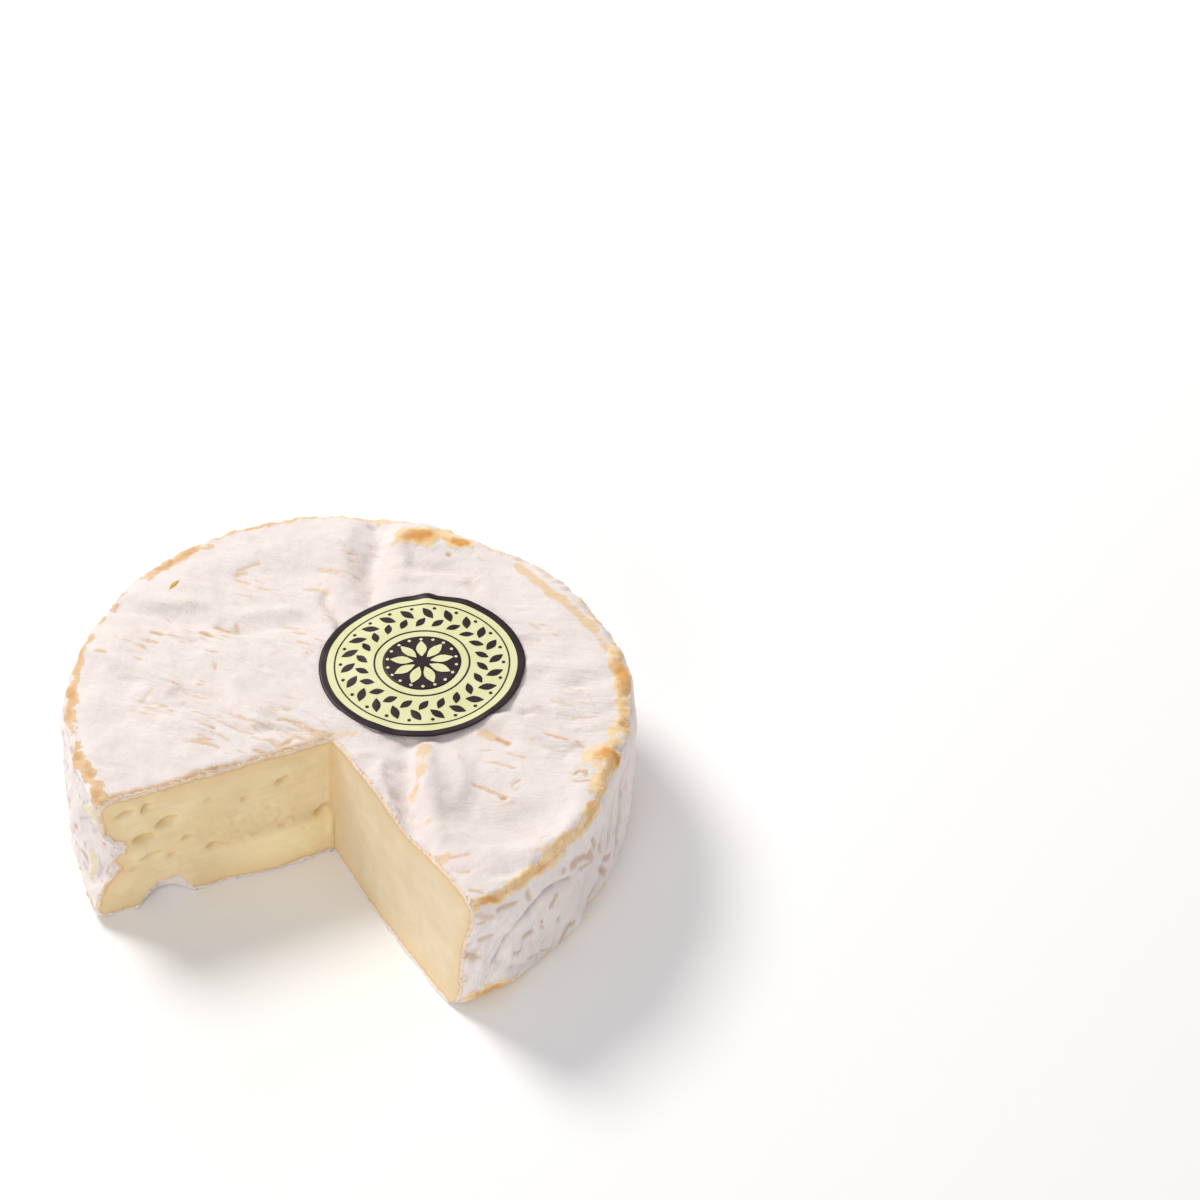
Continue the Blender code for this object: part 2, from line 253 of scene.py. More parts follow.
def smooth_within(points, crease, rounds):
    """Moves each point towards its neighbours' middle. Points of a crease only follow each other."""
    both = np.concatenate((edges, diagonals))
    allowed = ~crease[both[:, 0]] | crease[both[:, 1]]
    back_allowed = ~crease[both[:, 1]] | crease[both[:, 0]]
    source = np.concatenate((both[allowed, 1], both[back_allowed, 0]))
    target = np.concatenate((both[allowed, 0], both[back_allowed, 1]))
    count = np.maximum(np.bincount(target, minlength=len(points)), 1)[:, None]
    for _ in range(rounds):
        total = [np.bincount(target, points[source, axis], len(points)) for axis in range(3)]
        points = points * 0.5 + np.stack(total, axis=1) / count * 0.5
    return points


crease = crease_points(kind)
points = smooth_within(points, crease, SMOOTHING_ROUNDS)
points[on_base, 2] = 0.0
points[:, 2] = np.maximum(points[:, 2], 0.0)
normals = normals_of(points)
plan = points[:, :2] - WHEEL_CENTRE
radius = np.linalg.norm(plan, axis=1)
angle = np.degrees(np.arctan2(plan[:, 1], plan[:, 0]))
left_s, left_out = cut_coordinates(points, LEFT_CUT_ANGLE, 1.0)
right_s, right_out = cut_coordinates(points, RIGHT_CUT_ANGLE, -1.0)
on_rind = kind == RIND
on_left = kind == LEFT_CUT
on_right = kind == RIGHT_CUT
print("edge points:", int(crease.sum()))

# %% [markdown]
# How far a point is from the rim and from the knife's edge
#
# The rim of the wheel is where mould was rubbed off and the rind turned orange. Its place changes with
# the angle, so the widest radius is read in steps round the wheel and smoothed. The distance to the
# knife's edge comes from a tree of the edge points, which answers quickly even for a hundred thousand
# questions.

# %% Measure both distances
RIM_STEPS = 180
RIM_SMOOTHING = 5
GAP_ENDS = (-157.0, -68.0)  # degrees between which the wedge took the rim away
UPPER_PART = 22.0  # the rim is above this height
OUTER_PART = 44.0  # and further out than this

step_angles = -180.0 + 360.0 * (np.arange(RIM_STEPS) + 0.5) / RIM_STEPS
whole = (step_angles < GAP_ENDS[0]) | (step_angles > GAP_ENDS[1])
bins = ((angle + 180.0) / 360.0 * RIM_STEPS).astype(int) % RIM_STEPS


def rim_reading(values, chosen):
    """The highest value in each step round the wheel, carried over the gap and smoothed, for each point."""
    by_step = np.zeros(RIM_STEPS)
    np.maximum.at(by_step, bins[chosen], values[chosen])
    by_step = np.interp(step_angles, step_angles[whole], by_step[whole], period=360.0)
    window = range(-RIM_SMOOTHING, RIM_SMOOTHING + 1)
    by_step = sum(np.roll(by_step, i) for i in window) / len(window)
    return np.interp(angle, step_angles, by_step, period=360.0)


upper = on_rind & (points[:, 2] > UPPER_PART)
rim = rim_reading(radius, upper)
rim_height = rim_reading(points[:, 2], upper & (radius > OUTER_PART))
# Positive on the top, zero on the middle of the rounded rim, negative on the side
from_rim = (rim - radius) - (rim_height - points[:, 2])


def distance_to(chosen):
    """How far each point is from the nearest of the chosen points."""
    tree = kdtree.KDTree(int(chosen.sum()))
    for i, place in enumerate(points[chosen].tolist()):
        tree.insert(place, i)
    tree.balance()
    return np.array([tree.find(place)[2] for place in points.tolist()])


to_edge = distance_to(crease)
to_rind_edge = distance_to(crease & (depth < 1.5) & (points[:, 2] > 1.5))
print("rim radius", rim[upper].min().round(1), "to", rim[upper].max().round(1), "mm")

# %% [markdown]
# The marks of the rind
#
# White mould grows in a thin felt. Where the draining mats rubbed it off, the tan rind shows through as
# short dashes in clusters, all running the same way. On the rim it is worn down to orange. The clusters
# are named by place and size, and each becomes a soft blob: the material later fills the blobs with fine
# dashes.

# %% Name the bare places of the top
# Clusters on the top: (x, y, half length, half width, strength), in millimetres from the wheel's centre
BARE_CLUSTERS = (
    (-17, 38, 7, 4, 0.9),
    (-9, 32, 6, 4, 0.7),
    (-31, 24, 8, 3, 1.0),
    (-21, 24, 5, 3, 0.8),
    (-9, 20, 5, 5, 0.9),
    (-2, 26, 4, 6, 0.7),
    (-38, 4, 6, 4, 0.9),
    (-29, 8, 4, 4, 0.8),
    (-29, -5, 5, 2, 0.9),
    (-14, -3, 8, 3, 0.9),
    (-24, -9, 7, 2.5, 0.7),
    (-7, -6, 5, 3, 1.0),
    (-31, 13, 5, 3, 0.5),
    (-38, 20, 5, 3, 0.6),
    (-4, 45, 5, 3, 0.5),
    (6, 40, 4, 5, 0.6),
    (22, 36, 6, 3, 0.5),
    (30, 30, 5, 3, 0.4),
    (38, 18, 5, 4, 0.7),
    (43, -3, 5, 6, 0.8),
    (36, -12, 7, 3, 0.8),
    (26, -18, 4, 3, 0.7),
    (27, -26, 5, 2.5, 0.9),
    (32, -40, 4, 2.5, 0.8),
    (19, -43, 4, 4, 0.9),
    (-42, 22, 4, 3, 0.6),
    (10, 46, 5, 3, 0.5),
    (-28, 34, 6, 2.5, 0.4),
)
# Beige patches, where the felt is thin all over
BEIGE_PATCHES = (
    (13.4, -12.5, 2.0, 2.4, 0.9),
    (12.0, -18, 2.0, 3.0, 0.9),
    (10.6, -23.5, 1.6, 2.4, 0.85),
    (12.6, -31.5, 2.0, 1.8, 0.7),
    (26.2, -9.8, 1.5, 1.6, 1.1),
    (24.5, -7.5, 1.5, 2.5, 0.6),
    (-3, -6.5, 4.0, 1.6, 0.8),
    (14, -41, 3.0, 2.0, 0.7),
    # This broad patch over the hollow at the back is thin felt, and painted shade of the hollow too
    (-2, 38, 7.0, 7.0, 0.4),
)
# Worn beige band inside the rim on the right: (path, half width, strength)
BEIGE_BANDS = (
    (((35.0, 38.0), (39.0, 31.5), (43.5, 25.5), (48.0, 18.5)), 1.4, 0.95),
    (((48.5, 17.0), (51.0, 10.0)), 1.2, 0.7),
    (((-5.0, -7.4), (-11.3, -9.4), (-17.0, -11.2)), 0.55, 0.8),
)
print("bare places:", len(BARE_CLUSTERS) + len(BEIGE_PATCHES) + len(BEIGE_BANDS))

# %% Name the crust on the rim
# Orange crust on the rim: (angle, half width in degrees, distance in from the rim, reach, strength)
CRUST_STRETCHES = (
    (-60, 21, -0.6, 2.0, 0.98),
    (-40, 18, -0.1, 2.0, 0.98),
    (-24, 10, 1.0, 2.4, 1.0),
    (-8, 9, 1.4, 2.6, 1.0),
    (5, 10, 1.4, 2.8, 1.1),
    (24, 9, 1.0, 1.3, 0.60),
    (42, 10, 0.6, 1.2, 0.55),
    (62, 10, 0.6, 1.3, 0.62),
    (84, 11, 0.8, 1.3, 0.80),
    (104, 13, 0.9, 1.7, 0.98),
    (126, 9, 1.6, 2.4, 1.0),
    (143, 7, 0.6, 1.3, 0.60),
    (157, 8, 1.0, 1.6, 0.95),
    (172, 9, 1.5, 2.0, 1.0),
    (-170, 8, 1.6, 2.0, 0.95),
    (-158, 7, 1.9, 1.7, 1.0),
)
# Lumps where the crust is thickest: (x, y, half length, half width)
CRUST_LUMPS = ((47.5, -18.5, 4.6, 3.0), (17, 47.5, 6.0, 2.4), (24, 45.5, 2.5, 1.4))
LUMP_STRENGTH = 1.5
FOOT_CRUST_HEIGHT = 1.8
FRONT_FOOT_ANGLE = -66.5  # the crust at the foot is thickest beside the right cut
DARKEST_CRUST_ANGLE = 165.0  # and painted darkest on the left, in the key light: painted shade over its browning
print("stretches of crust:", len(CRUST_STRETCHES))

# %% Name the rubbed marks of the top
# Places on the top where the felt is rubbed through: (path, half width, strength)
RUBBED_MARKS = (
    (((-37.5, 25.6), (-35.8, 24.9)), 0.55, 1.0),
    (((-38.5, 23.1), (-36.4, 22.1)), 0.4, 0.8),
    (((-34.5, 30.3), (-33.4, 29.2)), 0.35, 0.7),
    (((-27.9, 25.5), (-25.7, 23.4)), 0.6, 1.0),
    (((-25.2, 27.2), (-20.9, 24.7)), 0.4, 1.0),
    (((-21.1, 26.5), (-20.7, 24.7)), 0.7, 0.7),
    (((-27.2, 18.9), (-24.8, 17.7)), 0.3, 0.7),
    (((-25.5, 15.1), (-25.3, 13.7)), 0.5, 0.9),
    (((-24.5, 14.3), (-22.0, 11.5)), 0.3, 0.5),
    (((-20.8, 40.0), (-18.5, 38.5)), 0.4, 0.9),
    (((-20.6, 41.3), (-19.0, 41.4)), 0.7, 0.7),
    (((-39.3, 7.8), (-37.4, 9.9)), 0.7, 0.5),
    (((-34.8, 7.7), (-33.1, 9.6)), 0.8, 0.45),
    (((-48.0, 20.5), (-46.4, 19.8)), 0.4, 0.8),
    (((-33.5, 11.6), (-30.8, 8.9)), 0.3, 0.6),
    (((28.8, -15.2), (31.9, -16.6)), 0.35, 0.8),
    (((27.2, -17.8), (29.9, -19.1)), 0.35, 0.8),
    (((21.7, -22.0), (24.1, -23.3), (27.4, -25.8)), 0.35, 0.9),
    (((26.8, -25.7), (27.3, -25.8)), 0.5, 1.2),
    (((28.8, -22.8), (30.4, -22.2)), 0.35, 0.8),
    (((28.6, -23.7), (30.0, -24.2)), 0.3, 0.7),
    (((29.7, -38.9), (32.8, -38.8)), 0.35, 0.9),
    (((32.9, -36.5), (34.7, -36.9)), 0.35, 0.8),
    (((36.0, -10.7), (38.1, -12.2), (40.3, -13.2)), 0.45, 1.0),
    (((42.0, -13.7), (42.9, -14.9)), 0.4, 0.8),
    (((40.5, -23.7), (41.7, -24.2), (43.7, -24.3), (44.7, -23.6)), 0.35, 1.0),
    (((40.7, -22.0), (41.7, -21.3), (42.9, -21.9), (42.7, -22.8)), 0.35, 1.0),
    (((23.9, -13.4), (25.6, -13.7)), 0.4, 0.7),
    (((27.2, -10.0), (29.0, -12.2)), 0.8, 1.2),
    (((19.3, -15.1), (20.4, -16.6)), 0.3, 0.6),
    (((16.6, -40.7), (19.5, -40.6)), 0.5, 0.8),
    (((17.3, -44.3), (19.2, -44.7)), 0.6, 0.6),
    (((19.3, -49.9), (21.2, -50.5), (21.9, -51.1)), 0.5, 0.9),
    (((-16.2, 43.8), (-20.2, 42.3)), 0.5, 0.7),
    (((-15.4, 36.7), (-12.5, 35.8)), 0.3, 0.6),
    (((-4.5, 41.4), (-0.6, 40.4)), 0.4, 0.7),
    (((-7.6, 35.5), (-4.7, 35.2)), 0.5, 0.6),
    (((1.7, 45.6), (3.3, 45.5)), 0.5, 0.7),
    (((1.6, 43.6), (3.2, 43.5)), 0.4, 0.6),
    (((-11.6, 25.4), (-8.7, 24.5)), 0.5, 0.7),
    (((-10.3, 23.7), (-7.6, 22.6)), 0.4, 0.7),
    (((-10.4, 20.1), (-9.0, 19.5)), 0.3, 0.5),
    (((-14.4, 17.5), (-13.1, 17.4)), 0.3, 0.6),
    (((-8.6, 18.5), (-6.4, 16.9)), 0.35, 0.6),
    (((-28.1, -1.3), (-25.9, -2.4)), 0.4, 0.8),
    (((-30.0, -5.7), (-25.6, -7.0)), 0.45, 0.6),
    (((34.7, 16.8), (37.5, 16.3)), 0.5, 0.5),
    (((36.1, 21.1), (37.8, 19.4)), 0.6, 0.6),
    (((41.9, 2.8), (42.7, 1.7)), 0.4, 0.5),
    (((45.7, -1.3), (46.2, -3.5)), 0.4, 0.5),
    (((41.8, -5.9), (46.3, -6.2)), 0.4, 0.6),
    (((43.7, -7.8), (45.0, -8.6)), 0.4, 0.5),
    (((10.6, 38.5), (13.1, 37.0)), 0.3, 0.5),
    (((22.2, 32.6), (27.6, 36.5), (28.4, 37.4)), 0.3, 0.5),
    (((27.2, 41.3), (28.6, 40.1)), 0.4, 0.6),
    (((-4.2, 41.9), (0.2, 40.9), (3.7, 39.7)), 0.4, 0.6),
    (((-2.0, 40.3), (3.5, 36.9)), 0.35, 0.5),
    (((21.4, 42.6), (21.7, 42.2)), 0.4, 1.2),
    (((-29.9, 3.0), (-27.1, 1.8), (-24.2, -0.3), (-21.4, -2.4), (-18.5, -3.9)), 0.35, 0.8),
    (((-24.1, 2.8), (-19.2, -0.6), (-16.1, -2.3), (-13.1, -3.5), (-11.3, -5.1), (-8.9, -6.2)), 0.3, 0.7),
    (((-13.9, -0.8), (-11.3, -1.6), (-9.4, -2.6)), 0.35, 1.0),
    (((-8.6, -3.3), (-7.4, -4.9), (-6.4, -5.9), (-4.4, -6.3), (-3.6, -5.6)), 0.4, 1.0),
    (((-28.4, -1.3), (-25.9, -2.8)), 0.4, 1.0),
    (((-30.6, -5.7), (-27.8, -6.5), (-25.1, -7.9)), 0.35, 0.9),
    (((-12.9, 1.7), (-11.4, 1.5)), 0.3, 0.8),
    (((-12.0, 5.0), (-10.5, 4.5)), 0.3, 0.7),
    (((-18.4, -9.1), (-15.6, -10.3)), 0.4, 1.0),
    (((-15.1, -7.0), (-13.9, -8.1), (-12.0, -7.1), (-10.8, -5.2)), 0.5, 0.9),
    (((-8.9, 0.7), (-6.4, -1.6), (-4.4, -4.5)), 0.25, 0.6),
    (((-24.1, -12.8), (-20.8, -11.9), (-19.0, -11.2)), 0.35, 0.8),
)
print("rubbed marks:", len(RUBBED_MARKS))

# %% Name the marks of the side
# Brown spots on the side: (path in degrees round the wheel and millimetres up, half width, strength)
SIDE_SPOTS = (
    (((-50.4, 18.3), (-51.4, 16.5)), 0.7, 1.0),
    (((-58.5, 13.6), (-56.7, 13.2)), 0.7, 1.0),
    (((-60.7, 10.6), (-59.5, 10.5)), 0.6, 0.9),
    (((-53.8, 14.4), (-53.8, 14.0)), 0.4, 0.9),
    (((-54.0, 12.8), (-54.0, 12.4)), 0.4, 0.9),
    (((-49.6, 11.9), (-49.4, 11.0)), 0.5, 0.8),
    (((-68.2, 18.3), (-65.8, 17.9)), 0.7, 0.8),
    (((-65.0, 25.6), (-62.6, 24.6), (-60.1, 23.2)), 0.7, 0.9),
    (((-57.2, 24.5), (-57.0, 22.5)), 0.8, 0.8),
    (((-48.1, 23.0), (-47.5, 23.3)), 0.6, 0.8),
    (((-45.2, 22.3), (-43.0, 22.3), (-38.1, 18.7)), 0.8, 1.0),
    (((-41.5, 18.4), (-38.2, 16.9)), 0.6, 0.8),
    (((-37.2, 22.6), (-36.0, 19.4)), 0.7, 1.0),
    (((-38.3, 20.4), (-37.0, 16.5)), 0.7, 1.0),
    (((-32.7, 16.7), (-32.3, 14.9)), 0.6, 0.7),
    (((-30.0, 10.9), (-27.4, 9.1)), 0.8, 1.0),
    (((-32.7, 10.6), (-29.7, 6.7)), 0.8, 1.0),
    (((-33.8, 7.8), (-35.5, 6.9), (-36.2, 4.8), (-36.5, 2.3)), 0.8, 0.9),
    (((-43.1, 4.7), (-45.9, 5.6), (-46.9, 4.4), (-47.5, 1.7)), 0.9, 0.9),
    (((-50.3, 3.6), (-54.5, 5.2), (-57.7, 6.8)), 0.5, 0.8),
    (((-71.0, 26.7), (-68.9, 26.8), (-66.2, 24.5)), 0.9, 0.7),
    (((-69.0, 24.7), (-68.0, 24.3)), 0.6, 0.8),
    (((-71.0, 15.0), (-68.9, 13.5)), 0.9, 0.9),
)
# Painted shadow, grey laid into the felt of the side's tight folds and the torn flap's gaps: the same kind
# of list
FOLD_SHADOWS = (
    (((-45.0, 18.4), (-47.6, 20.1), (-50.2, 20.7)), 0.35, 0.5),
    (((-50.2, 20.7), (-53.2, 20.8), (-55.2, 19.7), (-57.2, 18.5)), 0.45, 0.75),
    (((-57.2, 18.5), (-59.9, 17.9), (-63.1, 14.8)), 0.45, 0.7),
    (((-63.1, 14.8), (-64.8, 10.6)), 0.3, 0.45),
    (((-164.0, 8.4), (-162.6, 7.2)), 0.35, 0.4),
    (((-159.8, 12.5), (-158.3, 11.1), (-158.8, 9.0)), 0.35, 0.45),
    (((-156.6, 11.2), (-155.1, 12.9)), 0.4, 0.4),
    (((-166.9, 17.3), (-164.5, 19.3), (-161.4, 20.3)), 0.35, 0.35),
    (((-161.7, 18.0), (-158.0, 21.5)), 0.35, 0.4),
    (((-26.0, 20.0), (-29.0, 13.0)), 0.4, 0.3),
    (((-20.0, 18.0), (-22.0, 8.0)), 0.4, 0.3),
)
# Paste that the knife smeared round the corner onto the side: the same kind of list
SMEARED_PASTE = (
    (((-165.0, 21.3), (-161.0, 23.5)), 0.8, 1.1),
    (((-161.0, 23.5), (-157.0, 26.0)), 1.3, 1.1),
    (((-157.0, 25.2), (-153.5, 26.0)), 2.2, 1.4),
    (((-162.0, 12.4), (-160.1, 10.7), (-160.9, 7.3)), 0.85, 1.0),
)
print("marks of the side:", len(SIDE_SPOTS) + len(FOLD_SHADOWS) + len(SMEARED_PASTE))


# %% Lay the bare places
def blob(x, y, centre_x, centre_y, half_x, half_y):
    return np.exp(-(((x - centre_x) / half_x) ** 2) - ((y - centre_y) / half_y) ** 2)


def along_path(x, y, path, half_width):
    """One on the path, falling softly to nothing within two half widths of it."""
    nearest = np.full(len(x), 1e6)
    for (ax, ay), (bx, by) in zip(path, path[1:]):
        run_x, run_y = bx - ax, by - ay
        share = np.clip(((x - ax) * run_x + (y - ay) * run_y) / (run_x**2 + run_y**2), 0.0, 1.0)
        nearest = np.minimum(nearest, (x - ax - share * run_x) ** 2 + (y - ay - share * run_y) ** 2)
    return np.exp(-nearest / half_width**2)


def turn_from(degrees):
    """Each point's angle from that direction, from -180 to 180 degrees."""
    return (angle - degrees + 180.0) % 360.0 - 180.0


x, y, z = plan[:, 0], plan[:, 1], points[:, 2]
on_top = smooth_step(-1.0, 2.5, from_rim) * on_rind
on_side = smooth_step(0.5, -2.0, from_rim) * on_rind

bare = sum(blob(x, y, *place[:4]) * place[4] for place in BARE_CLUSTERS)
beige = sum(blob(x, y, *place[:4]) * place[4] for place in BEIGE_PATCHES)
bare = np.clip(bare * on_top, 0.0, 1.2)
beige += sum(along_path(x, y, path, width) * strength for path, width, strength in BEIGE_BANDS)
beige = np.clip(beige * on_top, 0.0, 1.2)
print("bare", bare.mean().round(3), "beige", beige.mean().round(3))

# %% Lay the crust
ragged = waves(points, (4.0, 4.0, 4.0), 1.0)
crust = np.zeros(len(points))
for place, width, inset, reach, strength in CRUST_STRETCHES:
    off_band = np.abs(from_rim - inset + ragged * 1.1) / reach
    crust = np.maximum(crust, strength * np.exp(-((turn_from(place) / width) ** 4) - off_band**4))
thick_crust = sum(blob(x, y, *place) * LUMP_STRENGTH for place in CRUST_LUMPS)
crust = np.maximum(crust, thick_crust * smooth_step(-3.0, 0.0, from_rim))
foot_patches = 0.62 + 0.5 * waves(points, (12.0, 12.0, 40.0), 2.0)
foot_line = np.exp(-(((z - FOOT_CRUST_HEIGHT + ragged) / FOOT_CRUST_HEIGHT) ** 2)) * foot_patches
crust = np.maximum(crust, np.clip(foot_line, 0.0, 0.9) * on_side)
front_foot_arc = turn_from(FRONT_FOOT_ANGLE) * rim * math.pi / 180.0
front_foot = blob(front_foot_arc, z, 0.0, 3.0, 6.5, 1.6)
crust = np.maximum(crust, 1.3 * front_foot * on_side)
crust[in_tear] = 0.0
# Painted shade: the crust is darker on the left, where the key light falls, over its own browning
browned = np.exp(-((turn_from(DARKEST_CRUST_ANGLE) / 75.0) ** 4))
crust = np.clip(crust, 0.0, 1.4) * on_rind
print("crust", crust.mean().round(3))

# %% Lay the rubbed marks and the marks of the side
ARC_PER_DEGREE = 54.0 * math.pi / 180.0
GRID_BLUR = 0.12  # keeps a thin mark whole on the grid
arc = angle * ARC_PER_DEGREE
jitter_x = 0.25 * waves(points, (2.0, 2.0, 2.0), 30.0, 2)
jitter_y = 0.25 * waves(points, (2.0, 2.0, 2.0), 31.0, 2)


def side_marks(marks, jitter):
    """The strongest of several marks on the side, whose paths are in degrees and millimetres up."""
    found = np.zeros(len(points))
    jittered = (arc + jitter_x * jitter, z + jitter_y * jitter)
    for path, width, strength in marks:
        unrolled = [(degrees * ARC_PER_DEGREE, level) for degrees, level in path]
        found = np.maximum(found, along_path(*jittered, unrolled, width + GRID_BLUR) * strength)
    return found * on_rind


rubbed = np.zeros(len(points))
jittered = (x + jitter_x, y + jitter_y)
for path, width, strength in RUBBED_MARKS:
    rubbed = np.maximum(rubbed, along_path(*jittered, path, width + GRID_BLUR) * strength)
rubbed *= on_top
scattered = smooth_step(0.42, 0.62, waves(points, (3.2, 3.2, 3.2), 5.0))
front_side = np.exp(-((turn_from(-45.0) / 40.0) ** 2))
spots = 0.75 * smooth_step(0.2, 0.9, side_marks(SIDE_SPOTS, 1.2))
spots = np.clip(spots + scattered * (1.0 - front_side) * 0.8 * on_side, 0.0, 1.0)
# Painted shadow in the tight folds of the side and the gaps of the torn flap
pinched = np.clip(side_marks(FOLD_SHADOWS, 0.5), 0.0, 1.0)
rim_width = 1.3 + 0.7 * waves(points, (2.2, 2.2, 2.2), 32.0, 3)
cut_rim = np.exp(-((to_rind_edge / np.maximum(rim_width, 0.3)) ** 2)) * smooth_step(16.0, 22.0, z)
rubbed = np.maximum(rubbed, 1.3 * cut_rim * on_rind * (left_s > 0.0))
smeared_paste = side_marks(SMEARED_PASTE, 1.6)
print("rubbed", rubbed.mean().round(3), "spots", spots.mean().round(3), "pinched", pinched.mean().round(3))

# %% [markdown]
# Folds that have a place
#
# The rind slumped as it ripened, and its skin is now a little too large: it lies in folds. Those that
# catch the eye are laid down one by one, each as a path with a half width and a rise, below zero for a
# hollow. A path is nudged by slow noise, so that no fold runs as straight as its few points would make
# it.

# %% Name the folds of the top
# Folds of the top: (path from the wheel's centre, half width, rise), in millimetres
NAMED_FOLDS = (
    (((7.6, 53.0), (7.0, 44.0), (6.2, 37.0), (5.5, 30.0)), 2.0, -1.7),
    (((12.5, 51.0), (11.5, 43.0), (10.6, 35.0)), 2.4, 0.7),
    (((1.5, 52.0), (1.0, 43.0), (0.5, 34.0)), 2.6, 0.5),
    (((-3.6, 33.0), (-2.4, 28.0), (-0.6, 22.0)), 1.1, -1.1),
    (((-44.0, 38.0), (-35.0, 35.0), (-28.0, 31.5), (-20.0, 29.0), (-11.0, 28.5)), 2.2, 1.1),
    (((-44.0, 33.0), (-35.0, 30.5), (-28.0, 27.5), (-20.0, 25.0), (-9.0, 25.0)), 1.7, -0.45),
    (((-46.0, 28.5), (-38.0, 26.5), (-31.0, 23.0)), 2.2, -0.4),
    (((-51.0, 21.5), (-44.5, 18.0), (-38.5, 13.0), (-34.0, 10.0)), 2.2, 1.3),
    (((-50.0, 14.5), (-45.0, 11.0), (-40.0, 6.5)), 2.2, -0.9),
    (((-27.5, 17.0), (-24.0, 11.0), (-21.5, 5.5), (-16.5, 2.5)), 2.3, 0.9),
    (((-30.0, 5.0), (-27.0, 2.6), (-18.0, -1.6), (-10.0, -3.8)), 1.5, -0.5),
    (((-45.0, -4.0), (-36.0, -8.0), (-27.0, -12.5)), 3.0, 0.8),
    (((-35.0, -0.5), (-26.0, -4.0), (-17.0, -7.0)), 1.3, 0.7),
    (((-40.0, 24.0), (-31.0, 21.0), (-22.0, 18.0)), 2.0, 0.5),
    (((1.0, -11.8), (5.0, -13.6), (8.6, -14.6)), 1.5, 1.0),
    (((4.4, -16.0), (5.6, -22.0), (6.8, -28.5)), 1.4, 0.9),
    (((11.0, -9.8), (9.4, -16.0), (8.8, -24.0), (9.8, -30.5), (12.2, -36.5)), 1.5, -0.95),
    (((14.6, -10.4), (13.0, -17.0), (12.4, -24.0), (14.0, -32.0)), 1.8, 0.85),
    (((19.0, -11.5), (20.4, -17.0), (19.6, -23.0)), 1.9, 0.8),
    (((22.6, -10.0), (23.6, -15.0), (23.0, -20.0)), 1.2, -0.3),
    (((15.0, -33.5), (18.5, -37.2), (23.0, -40.0), (29.5, -41.4), (36.0, -39.0), (41.0, -33.5)), 2.3, 1.9),
    (((17.0, -43.5), (23.0, -46.4), (30.0, -47.0), (37.0, -44.0)), 2.0, -0.6),
    (((21.0, -28.0), (27.0, -32.5), (34.5, -31.5)), 5.0, -1.5),
    (((27.0, -5.4), (33.9, -9.8), (41.0, -14.0)), 1.5, 0.8),
    (((26.6, -8.8), (33.4, -13.0), (40.0, -17.0)), 1.2, -0.8),
    (((35.0, 8.0), (42.4, 7.2), (51.0, 9.0)), 1.6, 0.6),
    (((34.7, 4.2), (42.4, 3.4), (51.0, 5.0)), 1.4, -0.6),
    (((33.0, -3.6), (41.5, -6.4), (49.5, -5.6)), 1.6, -0.8),
    (((14.6, 41.0), (21.0, 38.2), (26.4, 32.6)), 1.8, -1.0),
    (((12.6, 37.6), (18.6, 37.0), (23.0, 35.0)), 1.4, 0.8),
)
print("folds of the top:", len(NAMED_FOLDS))

# %% Name the folds of the side, and lay them all
# Folds of the side: (path in degrees round the wheel and millimetres up, half width, rise)
SIDE_CREASES = (
    (((-45.0, 18.4), (-50.2, 20.7), (-53.2, 20.8), (-57.2, 18.5), (-59.9, 17.9), (-64.8, 10.6)), 0.8, -1.1),
    (((-45.0, 16.0), (-50.2, 18.4), (-53.2, 18.5), (-57.2, 16.2), (-62.0, 12.0)), 1.2, 0.5),
    (((-44.0, 21.2), (-50.2, 23.3), (-54.0, 23.2), (-58.0, 20.9), (-62.0, 18.2)), 1.2, 0.8),
    (((-61.5, 7.0), (-56.0, 4.2), (-50.0, 2.0)), 0.7, -0.7),
    (((-35.0, 21.0), (-41.0, 16.0), (-46.0, 9.0)), 1.2, 0.5),
    (((-31.0, 19.0), (-37.0, 13.0), (-42.0, 5.0)), 1.0, -0.8),
    (((-24.0, 22.0), (-29.0, 14.0), (-33.0, 5.0)), 1.0, -0.8),
    (((-17.0, 21.0), (-21.0, 13.0), (-24.0, 6.0)), 1.0, -0.9),
    (((-66.0, 22.0), (-71.0, 17.0), (-74.0, 11.0)), 1.0, -0.6),
)

warp = waves(points, (20.0, 20.0, 20.0), 17.0, 2)
nudge_x = 1.6 * waves(points, (9.0, 9.0, 9.0), 3.0)
nudge_y = 1.6 * waves(points, (9.0, 9.0, 9.0), 4.0)
nudged = (x + nudge_x, y + nudge_y)
folds = sum(along_path(*nudged, path, width) * rise for path, width, rise in NAMED_FOLDS) * on_top
nudged = (arc + jitter_x * 0.5, z + jitter_y * 0.5)
for path, width, rise in SIDE_CREASES:
    unrolled = [(degrees * ARC_PER_DEGREE, level) for degrees, level in path]
    folds += along_path(*nudged, unrolled, width) * rise * on_side
print("folds from", folds.min().round(2), "to", folds.max().round(2), "mm")

# %% [markdown]
# Fine relief of the rind
#
# Between the folds the mould skin wrinkles into fine parallel ridges, swells into soft lumps, and cracks
# on the rim. Each kind of relief is noise, stretched along the wrinkles, and pushes the points along
# their normals. Doing this to the mesh, and not only with bump, lets the relief show on the outline and
# cast shadows.

# %% Lay a grain over the rind
# Directions of the grain, in degrees: on the top from the line to the right, on the side from level
LEFT_WRINKLES = -28.0
RIGHT_WRINKLES = -16.0
FRONT_WRINKLES = 6.0
SIDE_SMEARS = 62.0

